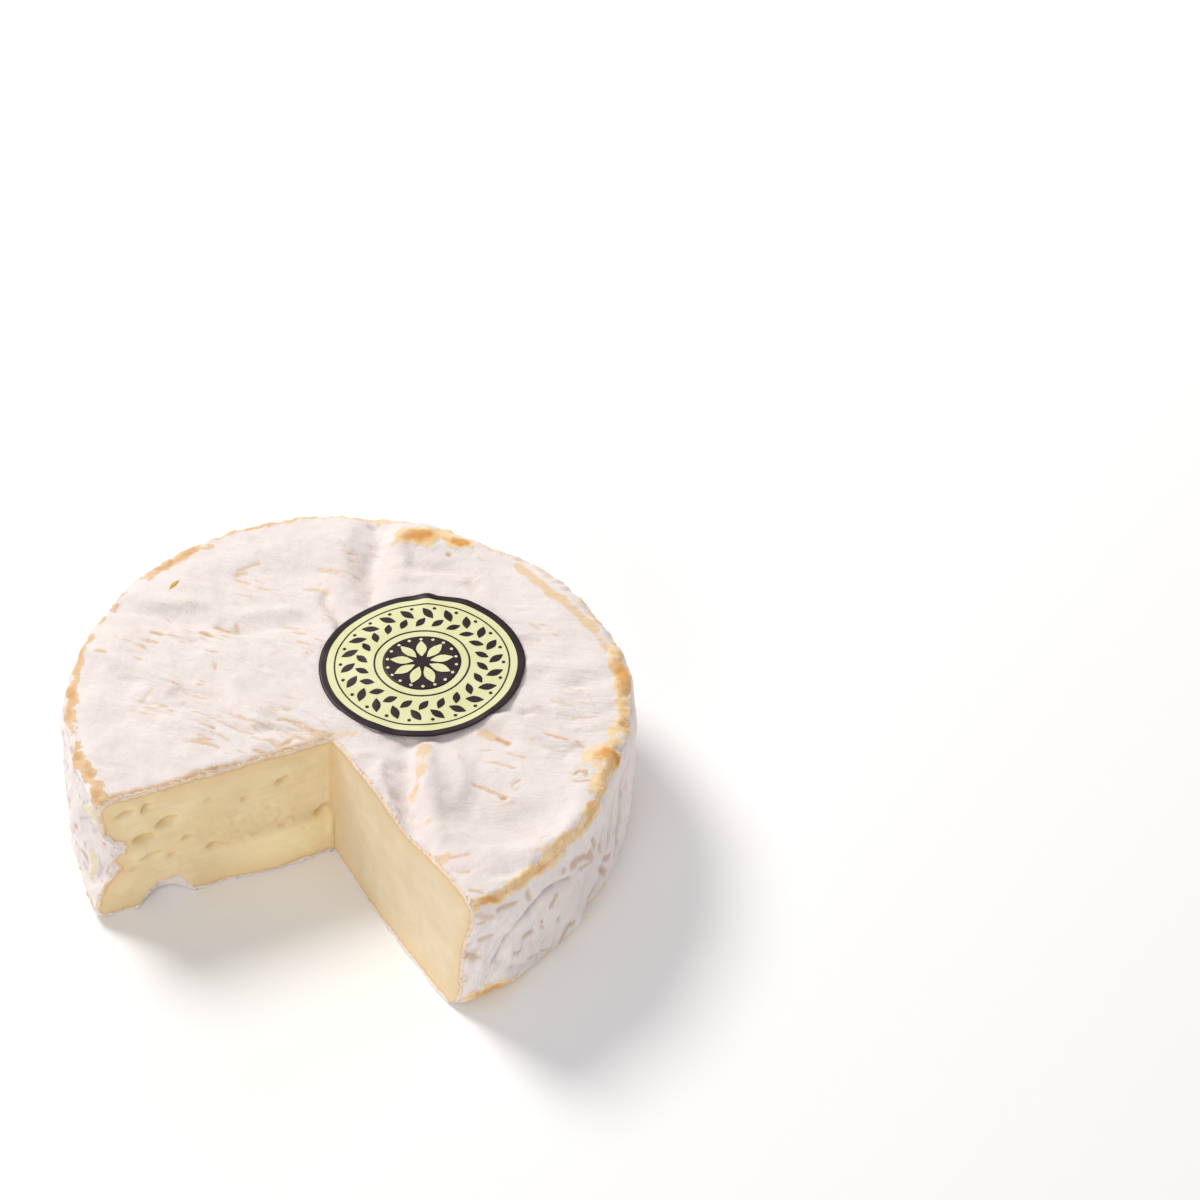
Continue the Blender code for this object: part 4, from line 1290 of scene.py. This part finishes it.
# %% Drape the paper
LABEL_CENTRE = np.array((14.3, 11.0))
LABEL_RADIUS = 19.9
PAPER_THICKNESS = 0.16
PAPER_GAP = 0.06
LABEL_RINGS = 40
LABEL_SEGMENTS = 144
TENSION_ROUNDS = 60
BORDER_WIDTH = 1.5
EDGE_LIFT = 0.35
LIFT_DIRECTION = -72.0
PLEAT_DIRECTION = 74.0

skin_tree = BVHTree.FromObject(cheese, bpy.context.evaluated_depsgraph_get())


def rind_height(place):
    found = skin_tree.ray_cast(Vector((place[0], place[1], RAY_START)) * MM, Vector((0.0, 0.0, -1.0)))
    return found[0].z / MM


label_middle = WHEEL_CENTRE + LABEL_CENTRE
ring_radii = LABEL_RADIUS * np.arange(1, LABEL_RINGS + 1) / LABEL_RINGS
turns = np.arange(LABEL_SEGMENTS) * math.tau / LABEL_SEGMENTS


def on_rings(radii):
    """Where the corners of those rings are, round the label's middle: all their x, and all their y."""
    ring_x = label_middle[0] + radii[:, None] * np.cos(turns)
    ring_y = label_middle[1] + radii[:, None] * np.sin(turns)
    return ring_x, ring_y


under = np.array([[rind_height(place) for place in zip(*row)] for row in zip(*on_rings(ring_radii))])
floor_of_paper = under + PAPER_GAP
drape = floor_of_paper.copy()
for _ in range(TENSION_ROUNDS):
    inner = np.vstack((drape[:1].mean() * np.ones((1, LABEL_SEGMENTS)), drape[:-1]))
    outer = np.vstack((drape[1:], drape[-1:]))
    average = (inner + outer + np.roll(drape, 1, axis=1) + np.roll(drape, -1, axis=1)) / 4.0
    drape = np.maximum(average, floor_of_paper)
print("tightened paper stands up to", (drape - under).max().round(2), "mm off the rind")

# %% Lift its edge and pleat it
from_lift = np.degrees((turns - math.radians(LIFT_DIRECTION) + math.pi) % math.tau - math.pi)
from_pleat = np.degrees((turns - math.radians(PLEAT_DIRECTION) + math.pi) % math.tau - math.pi)
rim_share = (ring_radii / LABEL_RADIUS)[:, None]
drape += EDGE_LIFT * np.exp(-((from_lift / 42.0) ** 2)) * smooth_step(0.72, 1.0, rim_share)
pleat = np.exp(-((from_pleat / 5.0) ** 2)) - 0.5 * np.exp(-(((from_pleat - 9.0) / 5.0) ** 2))
drape = np.maximum(drape - 0.9 * pleat * smooth_step(0.75, 1.0, rim_share), floor_of_paper)
flutter = 0.10 * np.sin(turns * 7.0 + 0.8) + 0.06 * np.sin(turns * 11.0 + 2.0)
drape += np.abs(flutter) * smooth_step(0.7, 1.0, rim_share)
print("paper height from", drape.min().round(2), "to", drape.max().round(2), "mm")


# %% Build the paper from rings
def round_sheet(name, radii, heights, thickness, closed_middle):
    """A closed round sheet or flat ring: rings on its face, the same rings below, and a rim between."""
    bm = bmesh.new()
    sheets = []
    for drop in (0.0, thickness):
        rings = []
        for ring_x, ring_y, row in zip(*on_rings(radii), heights):
            places = zip(ring_x * MM, ring_y * MM, (row + thickness - drop) * MM)
            rings.append([bm.verts.new(place) for place in places])
        sheets.append(rings)
    upper, lower = sheets
    for i in range(LABEL_SEGMENTS):
        j = (i + 1) % LABEL_SEGMENTS
        for k in range(len(radii) - 1):
            bm.faces.new((upper[k][i], upper[k + 1][i], upper[k + 1][j], upper[k][j]))
            bm.faces.new((lower[k][j], lower[k + 1][j], lower[k + 1][i], lower[k][i]))
        bm.faces.new((upper[-1][i], lower[-1][i], lower[-1][j], upper[-1][j]))
        if not closed_middle:
            bm.faces.new((upper[0][j], lower[0][j], lower[0][i], upper[0][i]))
    if closed_middle:
        for rings, shift in ((upper, thickness), (lower, 0.0)):
            height = heights[0].mean() + shift
            middle = bm.verts.new((label_middle[0] * MM, label_middle[1] * MM, height * MM))
            for i in range(LABEL_SEGMENTS):
                bm.faces.new((middle, rings[0][i], rings[0][(i + 1) % LABEL_SEGMENTS]))
    bmesh.ops.recalc_face_normals(bm, faces=bm.faces)
    made = new_piece(name, bm)
    made.data.shade_smooth()
    return made


paper = round_sheet("label_paper", ring_radii, drape, PAPER_THICKNESS, True)
print("paper faces:", len(paper.data.polygons))

# %% [markdown]
# Coated paper and its inks
#
# Label paper is coated with a thin layer of clay and varnish, so it has a soft gloss over a matt sheet.
# Offset printing lays the colours down flat. The pale field and the dark border are faces of the paper
# itself, and the small motifs are laid on top as thin films of ink.

# %% Make the paper and ink materials
PAPER_FIBRE = 0.25  # real fibres are finer, but would not show
FIBRE_HEIGHT = 0.04
FIELD_CLOUD = 6.0


def clouded_colour(tree, in_mm, cloud_width, detail, first, second):
    """One colour passing into another in soft clouds of that width, in millimetres."""
    inputs = {"Vector": in_mm, "Scale": 1.0 / cloud_width, "Detail": detail, "Roughness": NOISE_ROUGHNESS}
    clouds = add(tree, "ShaderNodeTexNoise", inputs).outputs[0]
    inputs = {"Value": clouds, "From Min": 0.35, "From Max": 0.65}
    share = add(tree, "ShaderNodeMapRange", inputs, interpolation_type="SMOOTHSTEP").outputs[0]
    inputs = {MIX_FACTOR: share, MIX_A: linear(first), MIX_B: linear(second)}
    return add(tree, "ShaderNodeMix", inputs, data_type="RGBA").outputs[MIX_RESULT]


def printed(name, light, dark, roughness):
    """Coated paper under one ink, which is a little uneven, with the fibres showing faintly through it."""
    material, tree = new_material(name)
    in_mm = position_in_mm(tree)
    colour = clouded_colour(tree, in_mm, FIELD_CLOUD, 4.0, dark, light)
    inputs = {"Vector": in_mm, "Scale": 1.0 / PAPER_FIBRE, "Detail": 2.0, "Roughness": NOISE_ROUGHNESS}
    fibre = add(tree, "ShaderNodeTexNoise", inputs).outputs[0]
    inputs = {"Height": fibre, "Strength": 0.15, "Distance": FIBRE_HEIGHT * MM}
    bump = add(tree, "ShaderNodeBump", inputs).outputs[0]
    inputs = {"Base Color": colour, "Roughness": roughness, "Normal": bump, "Specular IOR Level": 0.3}
    shader = add(tree, "ShaderNodeBsdfPrincipled", inputs)
    add(tree, "ShaderNodeOutputMaterial", {"Surface": shader.outputs[0]})
    return material


field_print = printed("coated paper, pale green offset print", "E8E8B8", "E1E2AC", 0.5)
dark_print = printed("coated paper, aubergine offset print", "2C1B22", "201218", 0.45)
paper.data.materials.append(field_print)
paper.data.materials.append(dark_print)
for face in paper.data.polygons:
    middle = np.array(face.center[:2]) / MM - label_middle
    face.material_index = 1 if np.linalg.norm(middle) > LABEL_RADIUS - BORDER_WIDTH else 0
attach(paper, "root")
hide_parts("label")

# %% [markdown]
# The print: a disc, two thin rings, a garland and a rosette
#
# The design is a plain one in two colours, as a small dairy might order. Round shapes follow the paper's
# own rings. Their heights are read off the draped paper with rays, so that each film of ink lies on it
# everywhere.

# %% Lay the round shapes
INK_THICKNESS = 0.03
INK_LIFT = 0.01
ROUND_SHAPES = (
    ("ink_disc", 0.0, 7.6, dark_print),
    ("ink_ring_inner", 9.0, 9.35, dark_print),
    ("ink_ring_outer", 16.7, 17.0, dark_print),
)
RING_SPACING = 0.5

paper_tree = BVHTree.FromObject(paper, bpy.context.evaluated_depsgraph_get())


def paper_height_at(px, py):
    found = paper_tree.ray_cast(Vector((px, py, RAY_START)) * MM, Vector((0.0, 0.0, -1.0)))
    return found[0].z / MM


for name, inner, outer, ink in ROUND_SHAPES:
    count = max(2, round((outer - inner) / RING_SPACING) + 1)
    radii = np.linspace(max(inner, RING_SPACING), outer, count)
    heights = np.array([[paper_height_at(*place) for place in zip(*row)] for row in zip(*on_rings(radii))])
    film = round_sheet(name, radii, heights + INK_LIFT, INK_THICKNESS, inner == 0.0)
    film.data.materials.append(ink)
    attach(film, "root")
print("round shapes:", [shape[0] for shape in ROUND_SHAPES])

# %% [markdown]
# A ring of leaves, made once and used four times
#
# The garland, its berries and the petals are all the same thing: a small pointed shape, repeated round a
# circle. Geometry Nodes can do it with one tree: points on a circle, a leaf on each, turned with the
# circle, and a ray straight down to lay every corner on the paper. The inputs decide how many, how large
# and how far turned.

# %% Build the tree for a ring of leaves
LEAF_CORNERS = 16
LEAF_POINTEDNESS = 3.0

LEAF_INPUTS = (
    ("Paper", "NodeSocketObject"),
    ("Ink", "NodeSocketMaterial"),
    ("Count", "NodeSocketInt"),
    ("Ring Radius", "NodeSocketFloat"),
    ("Leaf Length", "NodeSocketFloat"),
    ("Leaf Width", "NodeSocketFloat"),
    ("Leaf Turn", "NodeSocketFloat"),
    ("Start Turn", "NodeSocketFloat"),
    ("Lift", "NodeSocketFloat"),
)


def new_tree(name, named_inputs):
    """A tree of Geometry Nodes: the tree, its named inputs' identifiers, and the inputs inside it."""
    tree = bpy.data.node_groups.new(name, "GeometryNodeTree")
    identifiers = []
    for label, kind_of_socket in named_inputs:
        socket = tree.interface.new_socket(label, in_out="INPUT", socket_type=kind_of_socket)
        identifiers.append(socket.identifier)
    tree.interface.new_socket("Geometry", in_out="OUTPUT", socket_type="NodeSocketGeometry")
    return tree, identifiers, add(tree, "NodeGroupInput").outputs


leaf_ring, leaf_sockets, given = new_tree("ring of printed leaves", LEAF_INPUTS)

inputs = {"Vertices": given["Count"], "Radius": given["Ring Radius"]}
circle = add(leaf_ring, "GeometryNodeMeshCircle", inputs).outputs[0]
index = add(leaf_ring, "GeometryNodeInputIndex").outputs[0]
share_round = add(leaf_ring, "ShaderNodeMath", {0: index, 1: given["Count"]}, operation="DIVIDE").outputs[0]
inputs = {0: share_round, 1: math.tau, 2: given["Leaf Turn"]}
turned = add(leaf_ring, "ShaderNodeMath", inputs, operation="MULTIPLY_ADD").outputs[0]
leaf_rotation = add(leaf_ring, "ShaderNodeCombineXYZ", {"Z": turned}).outputs[0]

# A leaf is a flat round blank, stretched to its length and narrowed to a point at both ends
inputs = {"Vertices": LEAF_CORNERS, "Radius": 0.5, "Depth": INK_THICKNESS * MM}
blank = add(leaf_ring, "GeometryNodeMeshCylinder", inputs).outputs[0]
place = add(leaf_ring, "GeometryNodeInputPosition").outputs[0]
split = add(leaf_ring, "ShaderNodeSeparateXYZ", {0: place}).outputs
squared = add(leaf_ring, "ShaderNodeMath", {0: split[0], 1: split[0]}, operation="MULTIPLY").outputs[0]
inputs = {0: squared, 1: -LEAF_POINTEDNESS, 2: 1.0}
narrowing = add(leaf_ring, "ShaderNodeMath", inputs, operation="MULTIPLY_ADD").outputs[0]
inputs = {"X": given["Leaf Length"], "Y": given["Leaf Width"], "Z": 1.0}
leaf_size = add(leaf_ring, "ShaderNodeCombineXYZ", inputs).outputs[0]
taper = add(leaf_ring, "ShaderNodeCombineXYZ", {"X": 1.0, "Y": narrowing, "Z": 1.0}).outputs[0]
stretched = add(leaf_ring, "ShaderNodeVectorMath", {0: place, 1: leaf_size}, operation="MULTIPLY").outputs[0]
tapered = add(leaf_ring, "ShaderNodeVectorMath", {0: stretched, 1: taper}, operation="MULTIPLY").outputs[0]
leaf = add(leaf_ring, "GeometryNodeSetPosition", {"Geometry": blank, "Position": tapered}).outputs[0]
print("nodes for one leaf:", len(leaf_ring.nodes))

# %% Repeat the leaf and lay it on the paper
inputs = {"Points": circle, "Instance": leaf, "Rotation": leaf_rotation}
ring = add(leaf_ring, "GeometryNodeInstanceOnPoints", inputs).outputs[0]
ring = add(leaf_ring, "GeometryNodeRealizeInstances", {"Geometry": ring}).outputs[0]
start_rotation = add(leaf_ring, "ShaderNodeCombineXYZ", {"Z": given["Start Turn"]}).outputs[0]
centre = (label_middle[0] * MM, label_middle[1] * MM, 0.0)
inputs = {"Geometry": ring, "Translation": centre, "Rotation": start_rotation}
ring = add(leaf_ring, "GeometryNodeTransform", inputs).outputs[0]
corner = add(leaf_ring, "GeometryNodeInputPosition").outputs[0]
corner_split = add(leaf_ring, "ShaderNodeSeparateXYZ", {0: corner}).outputs
inputs = {"X": corner_split[0], "Y": corner_split[1], "Z": RAY_START * MM}
above = add(leaf_ring, "ShaderNodeCombineXYZ", inputs).outputs[0]
inputs = {"Object": given["Paper"]}
paper_info = add(leaf_ring, "GeometryNodeObjectInfo", inputs, transform_space="RELATIVE").outputs
inputs = {
    "Target Geometry": paper_info["Geometry"],
    "Source Position": above,
    "Ray Direction": (0.0, 0.0, -1.0),
    "Ray Length": 1.0,
}
ray = add(leaf_ring, "GeometryNodeRaycast", inputs).outputs
hit_height = add(leaf_ring, "ShaderNodeSeparateXYZ", {0: ray["Hit Position"]}).outputs[2]
inputs = {0: corner_split[2], 1: given["Lift"]}
lifted = add(leaf_ring, "ShaderNodeMath", inputs, operation="ADD").outputs[0]
height = add(leaf_ring, "ShaderNodeMath", {0: hit_height, 1: lifted}, operation="ADD").outputs[0]
inputs = {"X": corner_split[0], "Y": corner_split[1], "Z": height}
laid_place = add(leaf_ring, "ShaderNodeCombineXYZ", inputs).outputs[0]
laid = add(leaf_ring, "GeometryNodeSetPosition", {"Geometry": ring, "Position": laid_place}).outputs[0]
inked = add(leaf_ring, "GeometryNodeSetMaterial", {"Geometry": laid, "Material": given["Ink"]}).outputs[0]
add(leaf_ring, "NodeGroupOutput", {"Geometry": inked})
print("nodes in the ring tree:", len(leaf_ring.nodes))

# %% Print the garland and the rosette
# Rings of motifs: (name, ink, count, ring radius, length, width, turn in degrees, start in degrees, lift)
MOTIF_RINGS = (
    ("garland_outer_leaves", dark_print, 22, 14.3, 3.6, 1.7, 38.0, 0.0, 0.05),
    ("garland_inner_leaves", dark_print, 22, 11.7, 3.0, 1.5, -38.0, 6.0, 0.05),
    ("garland_berries", dark_print, 22, 15.7, 0.8, 0.8, 0.0, 12.0, 0.04),
    ("rosette_petals", field_print, 9, 3.9, 4.6, 2.1, 0.0, 8.0, 0.12),
    ("rosette_dots", field_print, 18, 6.7, 0.7, 0.7, 0.0, 8.0, 0.07),
)


def grown_piece(name, tree, identifiers, values):
    """A plain mesh of what a tree makes from those values, one for each of its named inputs."""
    holder = bpy.data.objects.new(name, bpy.data.meshes.new(name))
    bpy.context.scene.collection.objects.link(holder)
    modifier = holder.modifiers.new(tree.name, "NODES")
    modifier.node_group = tree
    for identifier, value in zip(identifiers, values):
        modifier[identifier] = value
    return plain_mesh(holder, name)


for name, ink, count, *lengths, turn, start, lift in MOTIF_RINGS:
    values = [paper, ink, count, *[length * MM for length in lengths]]
    values += [math.radians(turn), math.radians(start), lift * MM]
    motif = grown_piece(name, leaf_ring, leaf_sockets, values)
    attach(motif, "root")
    print(name, "faces:", len(motif.data.polygons))

# %% [markdown]
# Crumbs of rind along the knife's edge
#
# A knife breaks the felt where it goes in, and leaves crumbs of rind on the edge. Geometry Nodes scatters
# them: the stored closeness to the edge sets how thickly they lie, and each is a small uneven lump, sunk
# a little.

# %% Build the tree for the crumbs
CRUMBS_PER_SQUARE_MM = 1.1
CRUMB_RADIUS = 0.25
CRUMB_SIZES = ((0.5, 0.4, 0.3), (1.5, 1.1, 0.7))  # the smallest and the largest, as shares of that radius
DENT_WIDTH = 0.5
DENT_DEPTH = 0.35
CRUMB_SEED = 7

CRUMB_INPUTS = (
    ("Rind", "NodeSocketObject"),
    ("Density", "NodeSocketFloat"),
    ("Crumb Radius", "NodeSocketFloat"),
    ("Seed", "NodeSocketInt"),
    ("Material", "NodeSocketMaterial"),
)
crumb_tree, crumb_sockets, given = new_tree("crumbs along an edge", CRUMB_INPUTS)
inputs = {"Object": given["Rind"]}
rind_info = add(crumb_tree, "GeometryNodeObjectInfo", inputs, transform_space="RELATIVE").outputs
inputs = {"Name": "edge_near"}
closeness = add(crumb_tree, "GeometryNodeInputNamedAttribute", inputs, data_type="FLOAT").outputs[0]
near_edge = add(crumb_tree, "ShaderNodeMath", {0: closeness, 1: 3.0}, operation="POWER").outputs[0]
inputs = {0: near_edge, 1: given["Density"]}
density = add(crumb_tree, "ShaderNodeMath", inputs, operation="MULTIPLY").outputs[0]
inputs = {"Mesh": rind_info["Geometry"], "Density": density, "Seed": given["Seed"]}
scattered_points = add(crumb_tree, "GeometryNodeDistributePointsOnFaces", inputs).outputs
inputs = {"Radius": given["Crumb Radius"], "Subdivisions": 1}
lump = add(crumb_tree, "GeometryNodeMeshIcoSphere", inputs).outputs[0]
inputs = {0: CRUMB_SIZES[0], 1: CRUMB_SIZES[1], "Seed": given["Seed"]}
size = add(crumb_tree, "FunctionNodeRandomValue", inputs, data_type="FLOAT_VECTOR").outputs[0]
inputs = {
    "Points": scattered_points["Points"],
    "Instance": lump,
    "Rotation": scattered_points["Rotation"],
    "Scale": size,
}
crumbs = add(crumb_tree, "GeometryNodeInstanceOnPoints", inputs).outputs[0]
crumbs = add(crumb_tree, "GeometryNodeRealizeInstances", {"Geometry": crumbs}).outputs[0]
# Noise pushes the corners about, so that no crumb is a neat ball
inputs = {"Scale": 1.0 / (DENT_WIDTH * MM), "Detail": 2.0}
wobble = add(crumb_tree, "ShaderNodeTexNoise", inputs).outputs[1]
inputs = {0: wobble, 1: (0.5, 0.5, 0.5)}
wobble = add(crumb_tree, "ShaderNodeVectorMath", inputs, operation="SUBTRACT").outputs[0]
inputs = {0: wobble, "Scale": DENT_DEPTH * MM}
wobble = add(crumb_tree, "ShaderNodeVectorMath", inputs, operation="SCALE").outputs[0]
crumbs = add(crumb_tree, "GeometryNodeSetPosition", {"Geometry": crumbs, "Offset": wobble}).outputs[0]
inputs = {"Geometry": crumbs, "Material": given["Material"]}
crumbs = add(crumb_tree, "GeometryNodeSetMaterial", inputs).outputs[0]
add(crumb_tree, "NodeGroupOutput", {"Geometry": crumbs})
print("nodes in the crumb tree:", len(crumb_tree.nodes))


# %% Scatter the crumbs
def crumb_material(name, light, dark):
    """Dry rind, broken small: matt all over, a little see-through, and uneven in colour."""
    material, tree = new_material(name)
    colour = clouded_colour(tree, position_in_mm(tree), 1.2, 2.0, light, dark)
    inputs = {"Base Color": colour, "Roughness": 0.8, "Subsurface Weight": 0.2, "Subsurface Scale": 0.5 * MM}
    shader = add(tree, "ShaderNodeBsdfPrincipled", inputs)
    add(tree, "ShaderNodeOutputMaterial", {"Surface": shader.outputs[0]})
    return material


crumb_finish = crumb_material("torn mould rind, crumbled by the knife", "F3E3CF", "E3C7A3")
values = (cheese, CRUMBS_PER_SQUARE_MM / MM**2, CRUMB_RADIUS * MM, CRUMB_SEED, crumb_finish)
rind_crumbs = grown_piece("rind_crumbs", crumb_tree, crumb_sockets, values)
crumb_places = np.empty(len(rind_crumbs.data.vertices) * 3)
rind_crumbs.data.vertices.foreach_get("co", crumb_places)
crumb_places = np.clip(crumb_places.reshape(-1, 3), np.array(cad_box[0]), np.array(cad_box[1]))
rind_crumbs.data.vertices.foreach_set("co", crumb_places.ravel())
rind_crumbs.data.shade_smooth()
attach(rind_crumbs, "root")
print("crumb faces:", len(rind_crumbs.data.polygons))

# %% [markdown]
# One flake of dried rind
#
# A single sliver of yellow-orange lies on the white at the back left. Small things like it tell the eye
# how large the cheese is.

# %% Lay the flake
FLAKE_PLACE = np.array((-33.0, 38.0))
FLAKE_SIZE = (1.6, 0.42, 0.14)  # half its length, width and thickness
FLAKE_TURN = 50.0
FLAKE_POINTEDNESS = 0.7
FLAKE_LIFT = 0.05

flake_way = direction(FLAKE_TURN)
bm = bmesh.new()
bmesh.ops.create_icosphere(bm, subdivisions=3, radius=1.0)
flake_x, flake_y = WHEEL_CENTRE + FLAKE_PLACE
for vert in bm.verts:
    narrowing = 1.0 - FLAKE_POINTEDNESS * vert.co.x**2
    long = vert.co.x * FLAKE_SIZE[0]
    wide = vert.co.y * FLAKE_SIZE[1] * narrowing
    high = vert.co.z * FLAKE_SIZE[2] + FLAKE_LIFT
    px = flake_x + flake_way[0] * long - flake_way[1] * wide
    py = flake_y + flake_way[1] * long + flake_way[0] * wide
    vert.co = Vector((px, py, rind_height((px, py)) + high)) * MM
flake = new_piece("rind_flake", bm)
flake.data.shade_smooth()
flake.data.materials.append(crumb_material("dried orange rind, flaked", "E8B84A", "D9982F"))
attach(flake, "root")
print("flake faces:", len(flake.data.polygons))

# %% [markdown]
# Floor, lights and camera
#
# The cheese is lit by one large soft light, high on the left and a little behind, with white all round.
# An area light of nearly half a metre gives such soft shadows. Two weaker ones, low in front and on the
# right, and a bright world fill them. One light alone would leave the cuts, which face the camera, too
# dark. The camera is a long lens from above, which keeps the wheel's outline close to an ellipse.

# %% Lay the floor
FLOOR_HALF_WIDTH = 4.0  # in metres
FLOOR_DROP = 0.05 * MM  # keeps the floor from flickering through the underside

bm = bmesh.new()
bmesh.ops.create_grid(bm, x_segments=1, y_segments=1, size=FLOOR_HALF_WIDTH)
floor = new_piece("studio_floor", bm)
# Matt paper shows a soft shadow and mirrors nothing
sweep, tree = new_material("studio floor, matt white paper")
inputs = {"Base Color": linear("FEFEFE"), "Roughness": 0.9, "Specular IOR Level": 0.2}
shader = add(tree, "ShaderNodeBsdfPrincipled", inputs)
add(tree, "ShaderNodeOutputMaterial", {"Surface": shader.outputs[0]})
floor.data.materials.append(sweep)
floor.location = (0.0, 0.0, -FLOOR_DROP)
print("floor:", 2.0 * FLOOR_HALF_WIDTH, "m across")

# %% Light the scene
world = bpy.data.worlds.new("white studio")
bpy.context.scene.world = world
world.use_nodes = True
background = world.node_tree.nodes["Background"].inputs
background["Color"].default_value = linear("F6F6FA")
background["Strength"].default_value = 0.45


def area_light(name, place, size, power, colour):
    """A round soft light in metres and watts, which points at the middle of the cheese."""
    light = bpy.data.lights.new(name, "AREA")
    light.shape = "DISK"
    light.size = size
    light.energy = power
    light.color = linear(colour)[:3]
    thing = bpy.data.objects.new(name, light)
    thing.location = place
    thing.rotation_euler = (Vector((0.0, 0.0, 0.01)) - Vector(place)).to_track_quat("-Z", "Y").to_euler()
    bpy.context.scene.collection.objects.link(thing)


area_light("key", (-0.42, 0.56, 0.76), 0.42, 7.6, "FFFBF6")
area_light("fill", (-0.38, -0.85, 0.36), 0.6, 3.0, "FFFDFA")
area_light("weak fill", (0.8, 0.42, 0.34), 0.6, 1.7, "FFFAF4")

# %% Set the camera
SENSOR = 36.0
FRAME_PIXELS = 1200.0
FOCAL_PIXELS = 3350.0
PITCH = 41.55
YAW = 5.85
CAMERA_PLACE = (0.0, -465.1, 467.0)  # from the wheel's centre, in millimetres

lens = bpy.data.cameras.new("camera")
lens.sensor_width = SENSOR
lens.lens = SENSOR * FOCAL_PIXELS / FRAME_PIXELS
camera = bpy.data.objects.new("camera", lens)
bpy.context.scene.collection.objects.link(camera)
camera_x, camera_y = WHEEL_CENTRE + CAMERA_PLACE[:2]
camera.location = Vector((camera_x, camera_y, CAMERA_PLACE[2])) * MM
pitch, yaw = math.radians(PITCH), math.radians(YAW)
looking = Vector((math.sin(yaw) * math.cos(pitch), math.cos(yaw) * math.cos(pitch), -math.sin(pitch)))
camera.rotation_euler = looking.to_track_quat("-Z", "Y").to_euler()
bpy.context.scene.camera = camera
bpy.context.scene.view_settings.view_transform = "Standard"
print("lens", round(lens.lens, 1), "mm")
